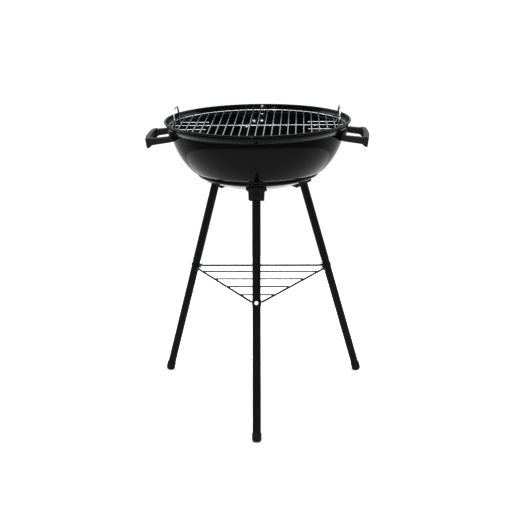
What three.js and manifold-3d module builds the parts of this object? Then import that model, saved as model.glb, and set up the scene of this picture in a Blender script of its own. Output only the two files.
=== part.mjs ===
// Kettle charcoal grill on three splayed legs: an enamelled bowl, two grates,
// a bottom air vent, two side handles and a wire shelf between the legs.
// Millimetres, +Z up. The origin is on the floor, in the middle of the grill's outline.
import * as THREE from "three";
import { mergeVertices } from "three/addons/utils/BufferGeometryUtils.js";
import Module from "manifold-3d";

const wasm = await Module();
wasm.setup();

// General
const GAP = 0.3;
const OVERLAP = 0.35;
const FAR = 400;
const degrees = THREE.MathUtils.degToRad;

// Bowl: a rolled rim, a flared lip, a rounded body, a step and a shallow dish
const RIM_RADIUS = 220;
const RIM_HEIGHT = 694;
const SHEET = 1.2;
const BEAD_RADIUS = 3;
const LIP_RADIUS = 215.3;
const LIP_HEIGHT = 686;
const FLARE_RADIUS = 211;
const FLARE_HEIGHT = 678;
const BODY_RADIUS = 206;
const BODY_DEPTH = 175;
const BODY_CENTRE_HEIGHT = 690;
const BODY_TOP_HEIGHT = 672;
const BODY_FOOT_HEIGHT = 577.5;
const STEP_RADIUS = 145;
const STEP_TOP_HEIGHT = 575.5;
const STEP_BOTTOM_HEIGHT = 567;
const DISH_RADIUS = 141;
const DISH_CURVE = 316;
const DISH_HEIGHT = 530;
const VENT_PANEL_RADIUS = 46;
const BOWL_SIDES = 48;
const FLAT_OF_SIDE = Math.cos(Math.PI / BOWL_SIDES);

// Bottom air vent
const VENT_HOLES = 4;
const VENT_HOLE_RADIUS = 10;
const VENT_HOLE_CIRCLE = 27;
const DAMPER_RADIUS = 42;
const DAMPER_SHEET = 1.2;
const DAMPER_TAB_REACH = 74;
const DAMPER_TAB_WIDTH = 16;
const DAMPER_TAB_DROP = 12;
const RIVET_RADIUS = 3;
const RIVET_HEAD_RADIUS = 6.5;

// Cooking grate
const COOKING_RING_RADIUS = 207;
const COOKING_RING_HEIGHT = 679.7;
const COOKING_RING_WIRE = 2.25;
const COOKING_BAR_WIRE = 1.6;
const COOKING_BAR_PITCH = 18.1;
const COOKING_BARS_EACH_SIDE = 11;
const COOKING_CROSSBAR_WIRE = 1.7;
const LOOP_DISTANCE = 188.5;
const LOOP_LEAN = 4;
const LOOP_HALF_WIDTH = 48;
const LOOP_TOP_HEIGHT = 720;
const LOOP_CORNER = 26;
const LOOP_TAIL_END = 118;
const LOOP_WIRE = 2;

// Charcoal grate
const CHARCOAL_RING_RADIUS = 151.8;
const CHARCOAL_RING_WIRE = 2.5;
const CHARCOAL_BAR_WIRE = 2;
const CHARCOAL_BAR_PITCH = 24;
const CHARCOAL_BARS_EACH_SIDE = 6;

// Side handles
const HANDLE_REACH = 261.5;
const HANDLE_BOW = 4;
const HANDLE_HALF_WIDTH = 66;
const HANDLE_ARM_THICKNESS = 10;
const HANDLE_TOP_HEIGHT = 659.2;
const HANDLE_LEAN = 8;
const GRIP_DEPTH = 12;
const GRIP_RIB_THICKNESS = 4;
const GRIP_TOP_THICKNESS = 9;
const GRIP_HEIGHT = 23;
const HANDLE_PLATE_THICKNESS = 6;
const HANDLE_PLATE_HALF_WIDTH = 67;
const HANDLE_PLATE_TOP = 669;
const HANDLE_PLATE_BOTTOM = 652;
const HANDLE_SCREW_HEIGHT = 658.5;
const HANDLE_SCREW_TURN = 11.25;

// Legs, in a frame whose z axis is the tube's axis and whose x axis points outward
const LEG_AZIMUTHS = { front: -90, right: 30, left: 150 };
const LEG_REACH = 285.6;
const LEG_SPLAY = degrees(17.15);
const TUBE_RADIUS = 9.5;
const TUBE_WALL = 1;
const TUBE_BOTTOM = 5.2;
const TUBE_TOP = 572;
const FOOT_RADIUS = 11;
const FOOT_BASE = 1.1;
const FOOT_TOP = 20;
const FOOT_ROUND = 4;
const FOOT_SOLE = 3.5;

// Leg sockets, in the same leg frame
const SOCKET_BOTTOM = 551;
const SOCKET_FLANGE = 573;
const SOCKET_OUTER = 15;
const SOCKET_INNER = -29;
const SOCKET_BOTTOM_HALF_WIDTH = 17;
const SOCKET_TOP_HALF_WIDTH = 18;
const SOCKET_FLANGE_HALF_WIDTH = 23;
const BOSS_HALF_WIDTH = 7;
const BOSS_HALF_HEIGHT = 10;
const BOSS_THICKNESS = 1.5;
const LEG_SCREW_STATION = 563;
const SOCKET_BOLT_RADIUS = 95.6;
const SOCKET_BOLT_GRIP = 27;

// Wire shelf
const SHELF_HEIGHT = 301;
const SHELF_INRADIUS = 101;
const SHELF_WIRE = 2.2;
const SHELF_CROSS_WIRE = 1.6;
const SHELF_CROSS_COUNT = 4;
const SHELF_CROSS_PITCH = 59.5;
const SHELF_FIRST_CROSS = 38.5;
const SHELF_CROSS_OVERHANG = 3;
const SHELF_SCREW_STATION = 316.9;
const LUG_WIDTH = 21.5;
const LUG_HEIGHT = 17;
const LUG_THICKNESS = 2;

// Fasteners
const M6 = { shank: 2.9, hole: 3.3, head: 6, headHeight: 3.2, nut: 5.6, nutHeight: 4.5 };
const M5 = { shank: 2.4, hole: 2.8, head: 4.9, headHeight: 2.8, nut: 4.6, nutHeight: 3.8 };

// Colours
const ENAMEL = { color: 0x101114, roughness: 0.12, metalness: 0 };
const TUBE_PAINT = { color: 0x18191b, roughness: 0.4, metalness: 0 };
const BLACK_PLASTIC = { color: 0x1b1c1e, roughness: 0.55, metalness: 0 };
const CHROME_WIRE = { color: 0xc9ccce, roughness: 0.15, metalness: 1 };
const ZINC = { color: 0xd6d8da, roughness: 0.3, metalness: 1 };
const SHELF_PAINT = { color: 0x202224, roughness: 0.45, metalness: 0 };

// Shape helpers

function solid(geometry) {
  const bare = new THREE.BufferGeometry();
  bare.setAttribute("position", geometry.getAttribute("position").clone());
  bare.setIndex(geometry.index);
  const merged = mergeVertices(bare, 1e-3);
  const vertProperties = new Float32Array(merged.getAttribute("position").array);
  const corners = Array.from(merged.index.array);
  const triVerts = [];
  for (let i = 0; i < corners.length; i += 3) {
    const [a, b, c] = corners.slice(i, i + 3);
    if (a !== b && b !== c && c !== a) triVerts.push(a, b, c);
  }
  return new wasm.Manifold(
    new wasm.Mesh({ numProp: 3, vertProperties, triVerts: new Uint32Array(triVerts) }),
  );
}

function surface(manifold) {
  const mesh = manifold.getMesh();
  const geometry = new THREE.BufferGeometry();
  geometry.setAttribute("position", new THREE.BufferAttribute(mesh.vertProperties.slice(), 3));
  geometry.setIndex(new THREE.BufferAttribute(mesh.triVerts.slice(), 1));
  geometry.computeVertexNormals();
  return geometry;
}

function join(geometries) {
  return geometries.map(solid).reduce((whole, next) => whole.add(next));
}

function cut(whole, cutters) {
  return cutters.map(solid).reduce((rest, cutter) => rest.subtract(cutter), whole);
}

// A rod of round section along +Z, from z = 0 to z = length.
function rod(radius, length, sides = 12) {
  const geometry = new THREE.CylinderGeometry(radius, radius, length, sides);
  return geometry.rotateX(Math.PI / 2).translate(0, 0, length / 2);
}

// A rod between two points.
function rodBetween(from, to, radius, sides) {
  const direction = new THREE.Vector3().subVectors(to, from);
  const turn = new THREE.Quaternion().setFromUnitVectors(
    new THREE.Vector3(0, 0, 1),
    direction.clone().normalize(),
  );
  return rod(radius, direction.length(), sides).applyQuaternion(turn).translate(...from.toArray());
}

// A block between two opposite corners.
function block(low, high) {
  const size = high.map((value, axis) => value - low[axis]);
  const middle = high.map((value, axis) => (value + low[axis]) / 2);
  return new THREE.BoxGeometry(...size).translate(...middle);
}

// A turned solid about +Z from a closed profile of [radius, height] pairs, anticlockwise.
function turned(profile, sides) {
  const points = profile.map(([radius, height]) => new THREE.Vector2(radius, height));
  const first = points[0];
  const last = points[points.length - 1];
  if (first.x > 0 || last.x > 0) points.push(first.clone());
  return new THREE.LatheGeometry(points, sides).rotateX(Math.PI / 2);
}

// A flat outline of [a, b] pairs, raised along its own normal.
function raised(outline, depth) {
  const shape = new THREE.Shape(outline.map(([a, b]) => new THREE.Vector2(a, b)));
  return new THREE.ExtrudeGeometry(shape, { depth, bevelEnabled: false });
}

// A raised outline drawn in the XZ plane and centred on y = 0.
function raisedSideways(outline, depth) {
  return raised(outline, depth).rotateX(Math.PI / 2).translate(0, depth / 2, 0);
}

// A raised outline drawn in the YZ plane, from x = start to x = end.
function raisedOutward(outline, start, end) {
  return raised(outline, end - start)
    .rotateX(Math.PI / 2)
    .rotateZ(Math.PI / 2)
    .translate(start, 0, 0);
}

// A wire of round section along a curve.
function wireAlong(curve, radius, steps, sides = 6) {
  const section = [];
  for (let side = 0; side < sides; side += 1) {
    const angle = (2 * Math.PI * side) / sides;
    section.push(new THREE.Vector2(radius * Math.cos(angle), radius * Math.sin(angle)));
  }
  const options = { steps, bevelEnabled: false, extrudePath: curve };
  return new THREE.ExtrudeGeometry(new THREE.Shape(section), options);
}

function part(name, shape, material) {
  const geometry = shape.isBufferGeometry ? surface(solid(shape)) : surface(shape);
  const mesh = new THREE.Mesh(geometry, new THREE.MeshStandardMaterial(material));
  mesh.name = name;
  return mesh;
}

// Fasteners: the bearing face is at z = 0, the head above it and the shank below it.

function screw(name, size, length) {
  const profile = [
    [0, -length],
    [size.shank, -length],
    [size.shank, 0],
    [size.head, 0],
    [size.head, size.headHeight * 0.45],
    [size.head * 0.72, size.headHeight * 0.86],
    [0, size.headHeight],
  ];
  return part(name, turned(profile, 8), ZINC);
}

function nut(name, size) {
  const outline = [];
  for (let corner = 0; corner < 6; corner += 1) {
    const angle = (Math.PI * corner) / 3;
    outline.push(new THREE.Vector2(size.nut * Math.cos(angle), size.nut * Math.sin(angle)));
  }
  const shape = new THREE.Shape(outline);
  shape.holes.push(new THREE.Path().absarc(0, 0, size.shank + GAP, 0, 2 * Math.PI, true));
  const options = { depth: size.nutHeight, bevelEnabled: false, curveSegments: 8 };
  return part(name, new THREE.ExtrudeGeometry(shape, options), ZINC);
}

// Bowl profile

function dishHeight(radius) {
  return DISH_HEIGHT + DISH_CURVE - Math.sqrt(DISH_CURVE ** 2 - radius ** 2);
}

function bodyRadius(height) {
  return BODY_RADIUS * Math.sqrt(1 - ((BODY_CENTRE_HEIGHT - height) / BODY_DEPTH) ** 2);
}

function bowlOutside() {
  const ventPanel = dishHeight(VENT_PANEL_RADIUS);
  const profile = [[0, ventPanel]];
  for (let i = 0; i <= 5; i += 1) {
    const radius = VENT_PANEL_RADIUS + ((DISH_RADIUS - VENT_PANEL_RADIUS) * i) / 5;
    profile.push([radius, dishHeight(radius)]);
  }
  profile.push([STEP_RADIUS, STEP_BOTTOM_HEIGHT]);
  profile.push([STEP_RADIUS, STEP_TOP_HEIGHT - 1.5]);
  profile.push([STEP_RADIUS + 2, STEP_TOP_HEIGHT]);
  for (let i = 0; i <= 6; i += 1) {
    const rise = Math.sin((Math.PI / 2) * (i / 6));
    const height = BODY_FOOT_HEIGHT + (BODY_TOP_HEIGHT - BODY_FOOT_HEIGHT) * rise;
    profile.push([bodyRadius(height), height]);
  }
  profile.push([FLARE_RADIUS, FLARE_HEIGHT]);
  profile.push([LIP_RADIUS - 1.2, LIP_HEIGHT - 3.5]);
  profile.push([LIP_RADIUS, LIP_HEIGHT]);
  return profile;
}

// The same profile moved inward by one distance along its own normals.
function offset(profile, distance) {
  return profile.map(([radius, height], i) => {
    const before = profile[Math.max(i - 1, 0)];
    const after = profile[Math.min(i + 1, profile.length - 1)];
    const run = Math.hypot(after[0] - before[0], after[1] - before[1]);
    const inward = (-(after[1] - before[1]) * distance) / run;
    const upward = ((after[0] - before[0]) * distance) / run;
    return [i === 0 ? 0 : radius + inward, height + upward];
  });
}

function bowlProfile() {
  const outside = bowlOutside();
  const inside = offset(outside, SHEET);
  const bead = [];
  for (let i = 0; i <= 4; i += 1) {
    const angle = degrees(-120 + 75 * i);
    bead.push([
      RIM_RADIUS - BEAD_RADIUS + BEAD_RADIUS * Math.cos(angle),
      RIM_HEIGHT - BEAD_RADIUS + BEAD_RADIUS * Math.sin(angle),
    ]);
  }
  return [...outside, ...bead, ...inside.reverse()];
}

// A solid that fills the space inside the bowl's outer face, grown by the fitting gap.
function bowlFilled() {
  const grown = offset(bowlOutside(), -GAP);
  return turned([...grown, [LIP_RADIUS + GAP, RIM_HEIGHT], [0, RIM_HEIGHT]], BOWL_SIDES);
}

// A matrix at a place on the bowl: x points outward, z is tipped by the tilt.
function placeOnBowl(azimuth, radius, height, tilt) {
  return new THREE.Matrix4()
    .makeRotationZ(degrees(azimuth))
    .multiply(new THREE.Matrix4().makeTranslation(radius, 0, height))
    .multiply(new THREE.Matrix4().makeRotationY(tilt));
}

// Normal to the dish at a socket bolt, pointing up into the bowl.
function socketBoltPlace(azimuth) {
  const tilt = -Math.asin(SOCKET_BOLT_RADIUS / DISH_CURVE);
  return placeOnBowl(azimuth, SOCKET_BOLT_RADIUS, dishHeight(SOCKET_BOLT_RADIUS), tilt);
}

// Normal to the bowl wall at a handle screw, pointing into the bowl.
function handleScrewPlace(side, turn) {
  const height = HANDLE_SCREW_HEIGHT;
  const slope = bodyRadius(height + 1) - bodyRadius(height);
  const azimuth = (side > 0 ? 0 : 180) + turn;
  const radius = bodyRadius(height) * FLAT_OF_SIDE;
  return placeOnBowl(azimuth, radius, height, -Math.PI / 2 + Math.atan(slope));
}

// Pieces

function bowl() {
  const cutters = [rod(RIVET_RADIUS + GAP, FAR, 12).translate(0, 0, RIM_HEIGHT - FAR)];
  for (let i = 0; i < VENT_HOLES; i += 1) {
    const angle = (2 * Math.PI * (i + 0.5)) / VENT_HOLES;
    const hole = rod(VENT_HOLE_RADIUS, FAR, 12);
    const x = VENT_HOLE_CIRCLE * Math.cos(angle);
    const y = VENT_HOLE_CIRCLE * Math.sin(angle);
    cutters.push(hole.translate(x, y, RIM_HEIGHT - FAR));
  }
  for (const azimuth of Object.values(LEG_AZIMUTHS)) {
    const hole = rod(M6.hole, 20, 8).translate(0, 0, -10);
    cutters.push(hole.applyMatrix4(socketBoltPlace(azimuth)));
  }
  for (const side of [1, -1]) {
    for (const turn of [HANDLE_SCREW_TURN, -HANDLE_SCREW_TURN]) {
      const hole = rod(M5.hole, 20, 8).translate(0, 0, -10);
      cutters.push(hole.applyMatrix4(handleScrewPlace(side, turn)));
    }
  }
  return part("bowl", cut(solid(turned(bowlProfile(), BOWL_SIDES)), cutters), ENAMEL);
}

function ventDamper() {
  const tab = block(
    [-DAMPER_TAB_WIDTH / 2, DAMPER_RADIUS - 4, 0],
    [DAMPER_TAB_WIDTH / 2, DAMPER_TAB_REACH, DAMPER_SHEET],
  );
  const grip = block(
    [-DAMPER_TAB_WIDTH / 2, DAMPER_TAB_REACH - DAMPER_SHEET, -DAMPER_TAB_DROP],
    [DAMPER_TAB_WIDTH / 2, DAMPER_TAB_REACH, DAMPER_SHEET],
  );
  const whole = join([rod(DAMPER_RADIUS, DAMPER_SHEET, 32), tab, grip]);
  const cutters = [rod(RIVET_RADIUS + GAP, 20, 12).translate(0, 0, -10)];
  for (let i = 0; i < VENT_HOLES; i += 1) {
    const angle = (2 * Math.PI * (i + 0.5)) / VENT_HOLES;
    const hole = rod(VENT_HOLE_RADIUS, 20, 12);
    const x = VENT_HOLE_CIRCLE * Math.cos(angle);
    const y = VENT_HOLE_CIRCLE * Math.sin(angle);
    cutters.push(hole.translate(x, y, -10));
  }
  const damper = part("vent_damper", cut(whole, cutters), TUBE_PAINT);
  damper.position.z = dishHeight(VENT_PANEL_RADIUS) - GAP - DAMPER_SHEET;
  return damper;
}

function ventRivet() {
  const seat = dishHeight(VENT_PANEL_RADIUS);
  const under = seat - 2 * GAP - DAMPER_SHEET;
  const over = seat + SHEET + GAP;
  const profile = [
    [0, under - 2],
    [RIVET_HEAD_RADIUS * 0.7, under - 1.8],
    [RIVET_HEAD_RADIUS, under - 0.6],
    [RIVET_HEAD_RADIUS, under],
    [RIVET_RADIUS, under],
    [RIVET_RADIUS, over],
    [RIVET_HEAD_RADIUS, over],
    [RIVET_HEAD_RADIUS, over + 0.6],
    [RIVET_HEAD_RADIUS * 0.7, over + 1.8],
    [0, over + 2],
  ];
  return part("vent_rivet", turned(profile, 14), ZINC);
}

// Parallel bars along Y across a ring, all at one height.
function bars(ringRadius, wire, pitch, eachSide, height) {
  const list = [];
  for (let i = -eachSide; i <= eachSide; i += 1) {
    const half = Math.sqrt(ringRadius ** 2 - (i * pitch) ** 2);
    list.push(
      rodBetween(
        new THREE.Vector3(i * pitch, -half, height),
        new THREE.Vector3(i * pitch, half, height),
        wire,
        6,
      ),
    );
  }
  return list;
}

function cookingBarHeight() {
  return COOKING_RING_HEIGHT + COOKING_RING_WIRE - COOKING_BAR_WIRE - 0.1;
}

// One lifting loop of bent wire, with two tails that run in under the bars.
function liftingLoop(name, side) {
  const bend = 5;
  const tailHeight = cookingBarHeight() - COOKING_BAR_WIRE - LOOP_WIRE - GAP;
  const points = [];
  for (const half of [-1, 1]) {
    const y = half * LOOP_HALF_WIDTH;
    const run = [
      new THREE.Vector3(LOOP_TAIL_END, y, tailHeight),
      new THREE.Vector3(LOOP_DISTANCE - bend, y, tailHeight),
      new THREE.Vector3(LOOP_DISTANCE - bend * 0.3, y, tailHeight + bend * 0.3),
      new THREE.Vector3(LOOP_DISTANCE, y, tailHeight + bend),
      new THREE.Vector3(LOOP_DISTANCE + LOOP_LEAN / 2, y, LOOP_TOP_HEIGHT - LOOP_CORNER),
    ];
    for (let i = 1; i <= 4; i += 1) {
      const angle = (Math.PI / 2) * (i / 4);
      run.push(
        new THREE.Vector3(
          LOOP_DISTANCE + (LOOP_LEAN / 2) * (1 + Math.sin(angle)),
          y - half * LOOP_CORNER * (1 - Math.cos(angle)),
          LOOP_TOP_HEIGHT - LOOP_CORNER * (1 - Math.sin(angle)),
        ),
      );
    }
    points.push(...(half < 0 ? run : run.reverse()));
  }
  const path = new THREE.CurvePath();
  for (let i = 1; i < points.length; i += 1) {
    path.add(new THREE.LineCurve3(points[i - 1], points[i]));
  }
  const loop = wireAlong(path, LOOP_WIRE, 52);
  const mesh = part(`grate_loop_${name}`, loop, CHROME_WIRE);
  mesh.rotation.z = side > 0 ? 0 : Math.PI;
  return mesh;
}

function cookingGrate() {
  const barHeight = cookingBarHeight();
  const underHeight = barHeight - COOKING_BAR_WIRE - COOKING_CROSSBAR_WIRE + OVERLAP;
  const ring = new THREE.TorusGeometry(COOKING_RING_RADIUS, COOKING_RING_WIRE, 6, BOWL_SIDES);
  const crossbarEnd = COOKING_BARS_EACH_SIDE * COOKING_BAR_PITCH + COOKING_BAR_WIRE;
  const shapes = [
    ring.translate(0, 0, COOKING_RING_HEIGHT),
    ...bars(
      COOKING_RING_RADIUS,
      COOKING_BAR_WIRE,
      COOKING_BAR_PITCH,
      COOKING_BARS_EACH_SIDE,
      barHeight,
    ),
    rodBetween(
      new THREE.Vector3(-crossbarEnd, 0, underHeight),
      new THREE.Vector3(crossbarEnd, 0, underHeight),
      COOKING_CROSSBAR_WIRE,
      6,
    ),
  ];
  return part("cooking_grate", join(shapes), CHROME_WIRE);
}

function charcoalGrate() {
  const seat = BODY_FOOT_HEIGHT + SHEET + GAP;
  const ringHeight = seat + CHARCOAL_RING_WIRE;
  const barHeight = ringHeight + 0.2;
  const crossHeight = barHeight - 2 * CHARCOAL_BAR_WIRE + OVERLAP;
  const crossEnd = CHARCOAL_BARS_EACH_SIDE * CHARCOAL_BAR_PITCH - 4;
  const ring = new THREE.TorusGeometry(CHARCOAL_RING_RADIUS, CHARCOAL_RING_WIRE, 6, BOWL_SIDES);
  const shapes = [
    ring.translate(0, 0, ringHeight),
    ...bars(
      CHARCOAL_RING_RADIUS,
      CHARCOAL_BAR_WIRE,
      CHARCOAL_BAR_PITCH,
      CHARCOAL_BARS_EACH_SIDE,
      barHeight,
    ),
    rodBetween(
      new THREE.Vector3(-crossEnd, 0, crossHeight),
      new THREE.Vector3(crossEnd, 0, crossHeight),
      CHARCOAL_BAR_WIRE,
      6,
    ),
  ];
  return part("charcoal_grate", join(shapes), CHROME_WIRE);
}

// A band along the grip, bowed outward in plan, from its outer edge inward by a depth.
function gripBand(depth, top, height) {
  const outline = [];
  const steps = 6;
  for (let i = 0; i <= steps; i += 1) {
    const across = (2 * i) / steps - 1;
    outline.push([HANDLE_REACH - HANDLE_BOW * across ** 2, across * HANDLE_HALF_WIDTH]);
  }
  for (let i = steps; i >= 0; i -= 1) {
    const across = (2 * i) / steps - 1;
    outline.push([HANDLE_REACH - depth - HANDLE_BOW * across ** 2, across * HANDLE_HALF_WIDTH]);
  }
  const lean = new THREE.Matrix4().makeRotationY(degrees(HANDLE_LEAN));
  return raised(outline, height)
    .translate(-HANDLE_REACH, 0, top - height)
    .applyMatrix4(lean)
    .translate(HANDLE_REACH, 0, HANDLE_TOP_HEIGHT);
}

function handle(name, side) {
  const armEnd = HANDLE_REACH - HANDLE_BOW - 2;
  const armOutline = [
    [180, 666.5],
    [180, 653.4],
    [armEnd - 13, 644.2],
    [armEnd - 4.5, 637.3],
    [armEnd - 1.5, 637.3],
    [armEnd, 659.2],
  ];
  const shapes = [
    gripBand(GRIP_DEPTH, 0, GRIP_TOP_THICKNESS),
    gripBand(GRIP_RIB_THICKNESS, 0, GRIP_HEIGHT),
  ];
  for (const y of [-1, 1]) {
    const offsetY = y * (HANDLE_HALF_WIDTH - HANDLE_ARM_THICKNESS / 2);
    shapes.push(raisedSideways(armOutline, HANDLE_ARM_THICKNESS).translate(0, offsetY, 0));
  }
  const plateOutside = [];
  const plateInside = [];
  for (let i = 0; i <= 2; i += 1) {
    const height = HANDLE_PLATE_BOTTOM + ((HANDLE_PLATE_TOP - HANDLE_PLATE_BOTTOM) * i) / 2;
    plateOutside.push([bodyRadius(height) + HANDLE_PLATE_THICKNESS, height]);
    plateInside.push([bodyRadius(height) - 4, height]);
  }
  const plateRing = solid(turned([...plateOutside, ...plateInside.reverse()], BOWL_SIDES));
  const plateSpan = block(
    [0, -HANDLE_PLATE_HALF_WIDTH, HANDLE_PLATE_BOTTOM - 1],
    [FAR, HANDLE_PLATE_HALF_WIDTH, HANDLE_PLATE_TOP + 1],
  );
  const plate = plateRing.intersect(solid(plateSpan));
  const cutters = [bowlFilled()];
  for (const turn of [HANDLE_SCREW_TURN, -HANDLE_SCREW_TURN]) {
    const hole = rod(M5.hole, 40, 8).translate(0, 0, -20);
    cutters.push(hole.applyMatrix4(handleScrewPlace(1, turn)));
  }
  const mesh = part(name, cut(join(shapes).add(plate), cutters), BLACK_PLASTIC);
  mesh.rotation.z = side > 0 ? 0 : Math.PI;
  return mesh;
}

// Puts a mesh at a matrix, then along its own z axis.
function placed(mesh, matrix, along) {
  mesh.applyMatrix4(matrix);
  mesh.translateZ(along);
  return mesh;
}

function handleFasteners(name, side) {
  const list = [];
  const ends = { front: -side * HANDLE_SCREW_TURN, back: side * HANDLE_SCREW_TURN };
  for (const [end, turn] of Object.entries(ends)) {
    const place = handleScrewPlace(side, turn);
    const nutFace = -HANDLE_PLATE_THICKNESS - 2 * GAP - M5.nutHeight;
    list.push(placed(screw(`handle_screw_${name}_${end}`, M5, 14), place, SHEET + 2 * GAP));
    list.push(placed(nut(`handle_nut_${name}_${end}`, M5), place, nutFace));
  }
  return list;
}

// The leg frame: its origin is where the tube's axis meets the floor.
function legFrame(azimuth) {
  const turn = new THREE.Group();
  turn.rotation.z = degrees(azimuth);
  const lean = new THREE.Group();
  lean.position.x = LEG_REACH;
  lean.rotation.y = -LEG_SPLAY;
  turn.add(lean);
  return { turn, lean };
}

// Takes a shape from the bowl's frame into the frame of a leg at azimuth zero.
function intoLegFrame(geometry) {
  const { turn, lean } = legFrame(0);
  turn.updateMatrixWorld(true);
  return geometry.applyMatrix4(lean.matrixWorld.clone().invert());
}

// A rod along the leg frame's x axis at a station on the tube.
function sidewaysRod(radius, from, to, station) {
  return rod(radius, to - from, 8).rotateY(Math.PI / 2).translate(from, 0, station);
}

function legTube(name) {
  const bore = TUBE_RADIUS - TUBE_WALL;
  const tube = solid(
    turned(
      [
        [bore, TUBE_BOTTOM],
        [TUBE_RADIUS, TUBE_BOTTOM],
        [TUBE_RADIUS, TUBE_TOP],
        [bore, TUBE_TOP],
      ],
      16,
    ),
  );
  const cutters = [
    sidewaysRod(M5.hole, -20, 20, SHELF_SCREW_STATION),
    sidewaysRod(M5.hole, 0, 20, LEG_SCREW_STATION),
  ];
  return part(`leg_${name}`, cut(tube, cutters), TUBE_PAINT);
}

function foot(name) {
  const bore = TUBE_RADIUS + GAP;
  const floorOfBore = FOOT_BASE + FOOT_SOLE;
  const profile = [[0, FOOT_BASE]];
  for (let i = 0; i <= 3; i += 1) {
    const angle = (Math.PI / 2) * (i / 3 - 1);
    profile.push([
      FOOT_RADIUS - FOOT_ROUND + FOOT_ROUND * Math.cos(angle),
      FOOT_BASE + FOOT_ROUND + FOOT_ROUND * Math.sin(angle),
    ]);
  }
  profile.push([FOOT_RADIUS, FOOT_TOP], [bore, FOOT_TOP], [bore, floorOfBore], [0, floorOfBore]);
  const belowFloor = intoLegFrame(block([-FAR, -FAR, -FAR], [FAR, FAR, 0]));
  return part(`foot_${name}`, cut(solid(turned(profile, 16)), [belowFloor]), BLACK_PLASTIC);
}

function legSocket(name) {
  const outline = [
    [-SOCKET_BOTTOM_HALF_WIDTH, SOCKET_BOTTOM],
    [SOCKET_BOTTOM_HALF_WIDTH, SOCKET_BOTTOM],
    [SOCKET_TOP_HALF_WIDTH, SOCKET_FLANGE],
    [SOCKET_FLANGE_HALF_WIDTH, SOCKET_FLANGE + 1],
    [SOCKET_FLANGE_HALF_WIDTH, SOCKET_FLANGE + 20],
    [-SOCKET_FLANGE_HALF_WIDTH, SOCKET_FLANGE + 20],
    [-SOCKET_FLANGE_HALF_WIDTH, SOCKET_FLANGE + 1],
    [-SOCKET_TOP_HALF_WIDTH, SOCKET_FLANGE],
  ];
  const boss = rod(BOSS_HALF_HEIGHT, BOSS_THICKNESS + 1, 14)
    .scale(1, BOSS_HALF_WIDTH / BOSS_HALF_HEIGHT, 1)
    .rotateY(Math.PI / 2)
    .translate(SOCKET_OUTER - 1, 0, LEG_SCREW_STATION);
  const body = join([raisedOutward(outline, SOCKET_INNER, SOCKET_OUTER), boss]);
  const boltHole = rod(M6.hole, 100, 8).translate(0, 0, -60);
  const cutters = [
    intoLegFrame(bowlFilled()),
    rod(TUBE_RADIUS + GAP, 60, 16).translate(0, 0, TUBE_TOP + GAP - 60),
    sidewaysRod(M5.hole, 0, 30, LEG_SCREW_STATION),
    intoLegFrame(boltHole.applyMatrix4(socketBoltPlace(0))),
  ];
  return part(`leg_socket_${name}`, cut(body, cutters), BLACK_PLASTIC);
}

function legScrew(name) {
  const mesh = screw(`leg_screw_${name}`, M5, 9);
  mesh.rotation.y = Math.PI / 2;
  mesh.position.set(SOCKET_OUTER + BOSS_THICKNESS + GAP, 0, LEG_SCREW_STATION);
  return mesh;
}

function shelfFasteners(name) {
  const bolt = screw(`shelf_screw_${name}`, M5, 29);
  bolt.rotation.y = Math.PI / 2;
  bolt.position.set(TUBE_RADIUS + GAP, 0, SHELF_SCREW_STATION);
  const lock = nut(`shelf_nut_${name}`, M5);
  const nutFace = -TUBE_RADIUS - LUG_THICKNESS - 2 * GAP;
  lock.rotation.y = -Math.PI / 2;
  lock.position.set(nutFace, 0, SHELF_SCREW_STATION);
  return [bolt, lock];
}

function leg(name, azimuth) {
  const { turn, lean } = legFrame(azimuth);
  lean.add(legTube(name));
  lean.add(foot(name));
  lean.add(legSocket(name));
  lean.add(legScrew(name));
  lean.add(...shelfFasteners(name));
  return turn;
}

function socketFasteners(name, azimuth) {
  const place = socketBoltPlace(azimuth);
  const nutFace = -SOCKET_BOLT_GRIP - GAP - M6.nutHeight;
  return [
    placed(screw(`socket_bolt_${name}`, M6, 36), place, SHEET + 2 * GAP),
    placed(nut(`socket_nut_${name}`, M6), place, nutFace),
  ];
}

// A point on the mid plane of a corner lug, at the height of the shelf wires.
function shelfCornerReach() {
  const lugPlane = TUBE_RADIUS + GAP + LUG_THICKNESS / 2 + 0.3;
  return LEG_REACH - lugPlane / Math.cos(LEG_SPLAY) - SHELF_HEIGHT * Math.tan(LEG_SPLAY);
}

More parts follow.
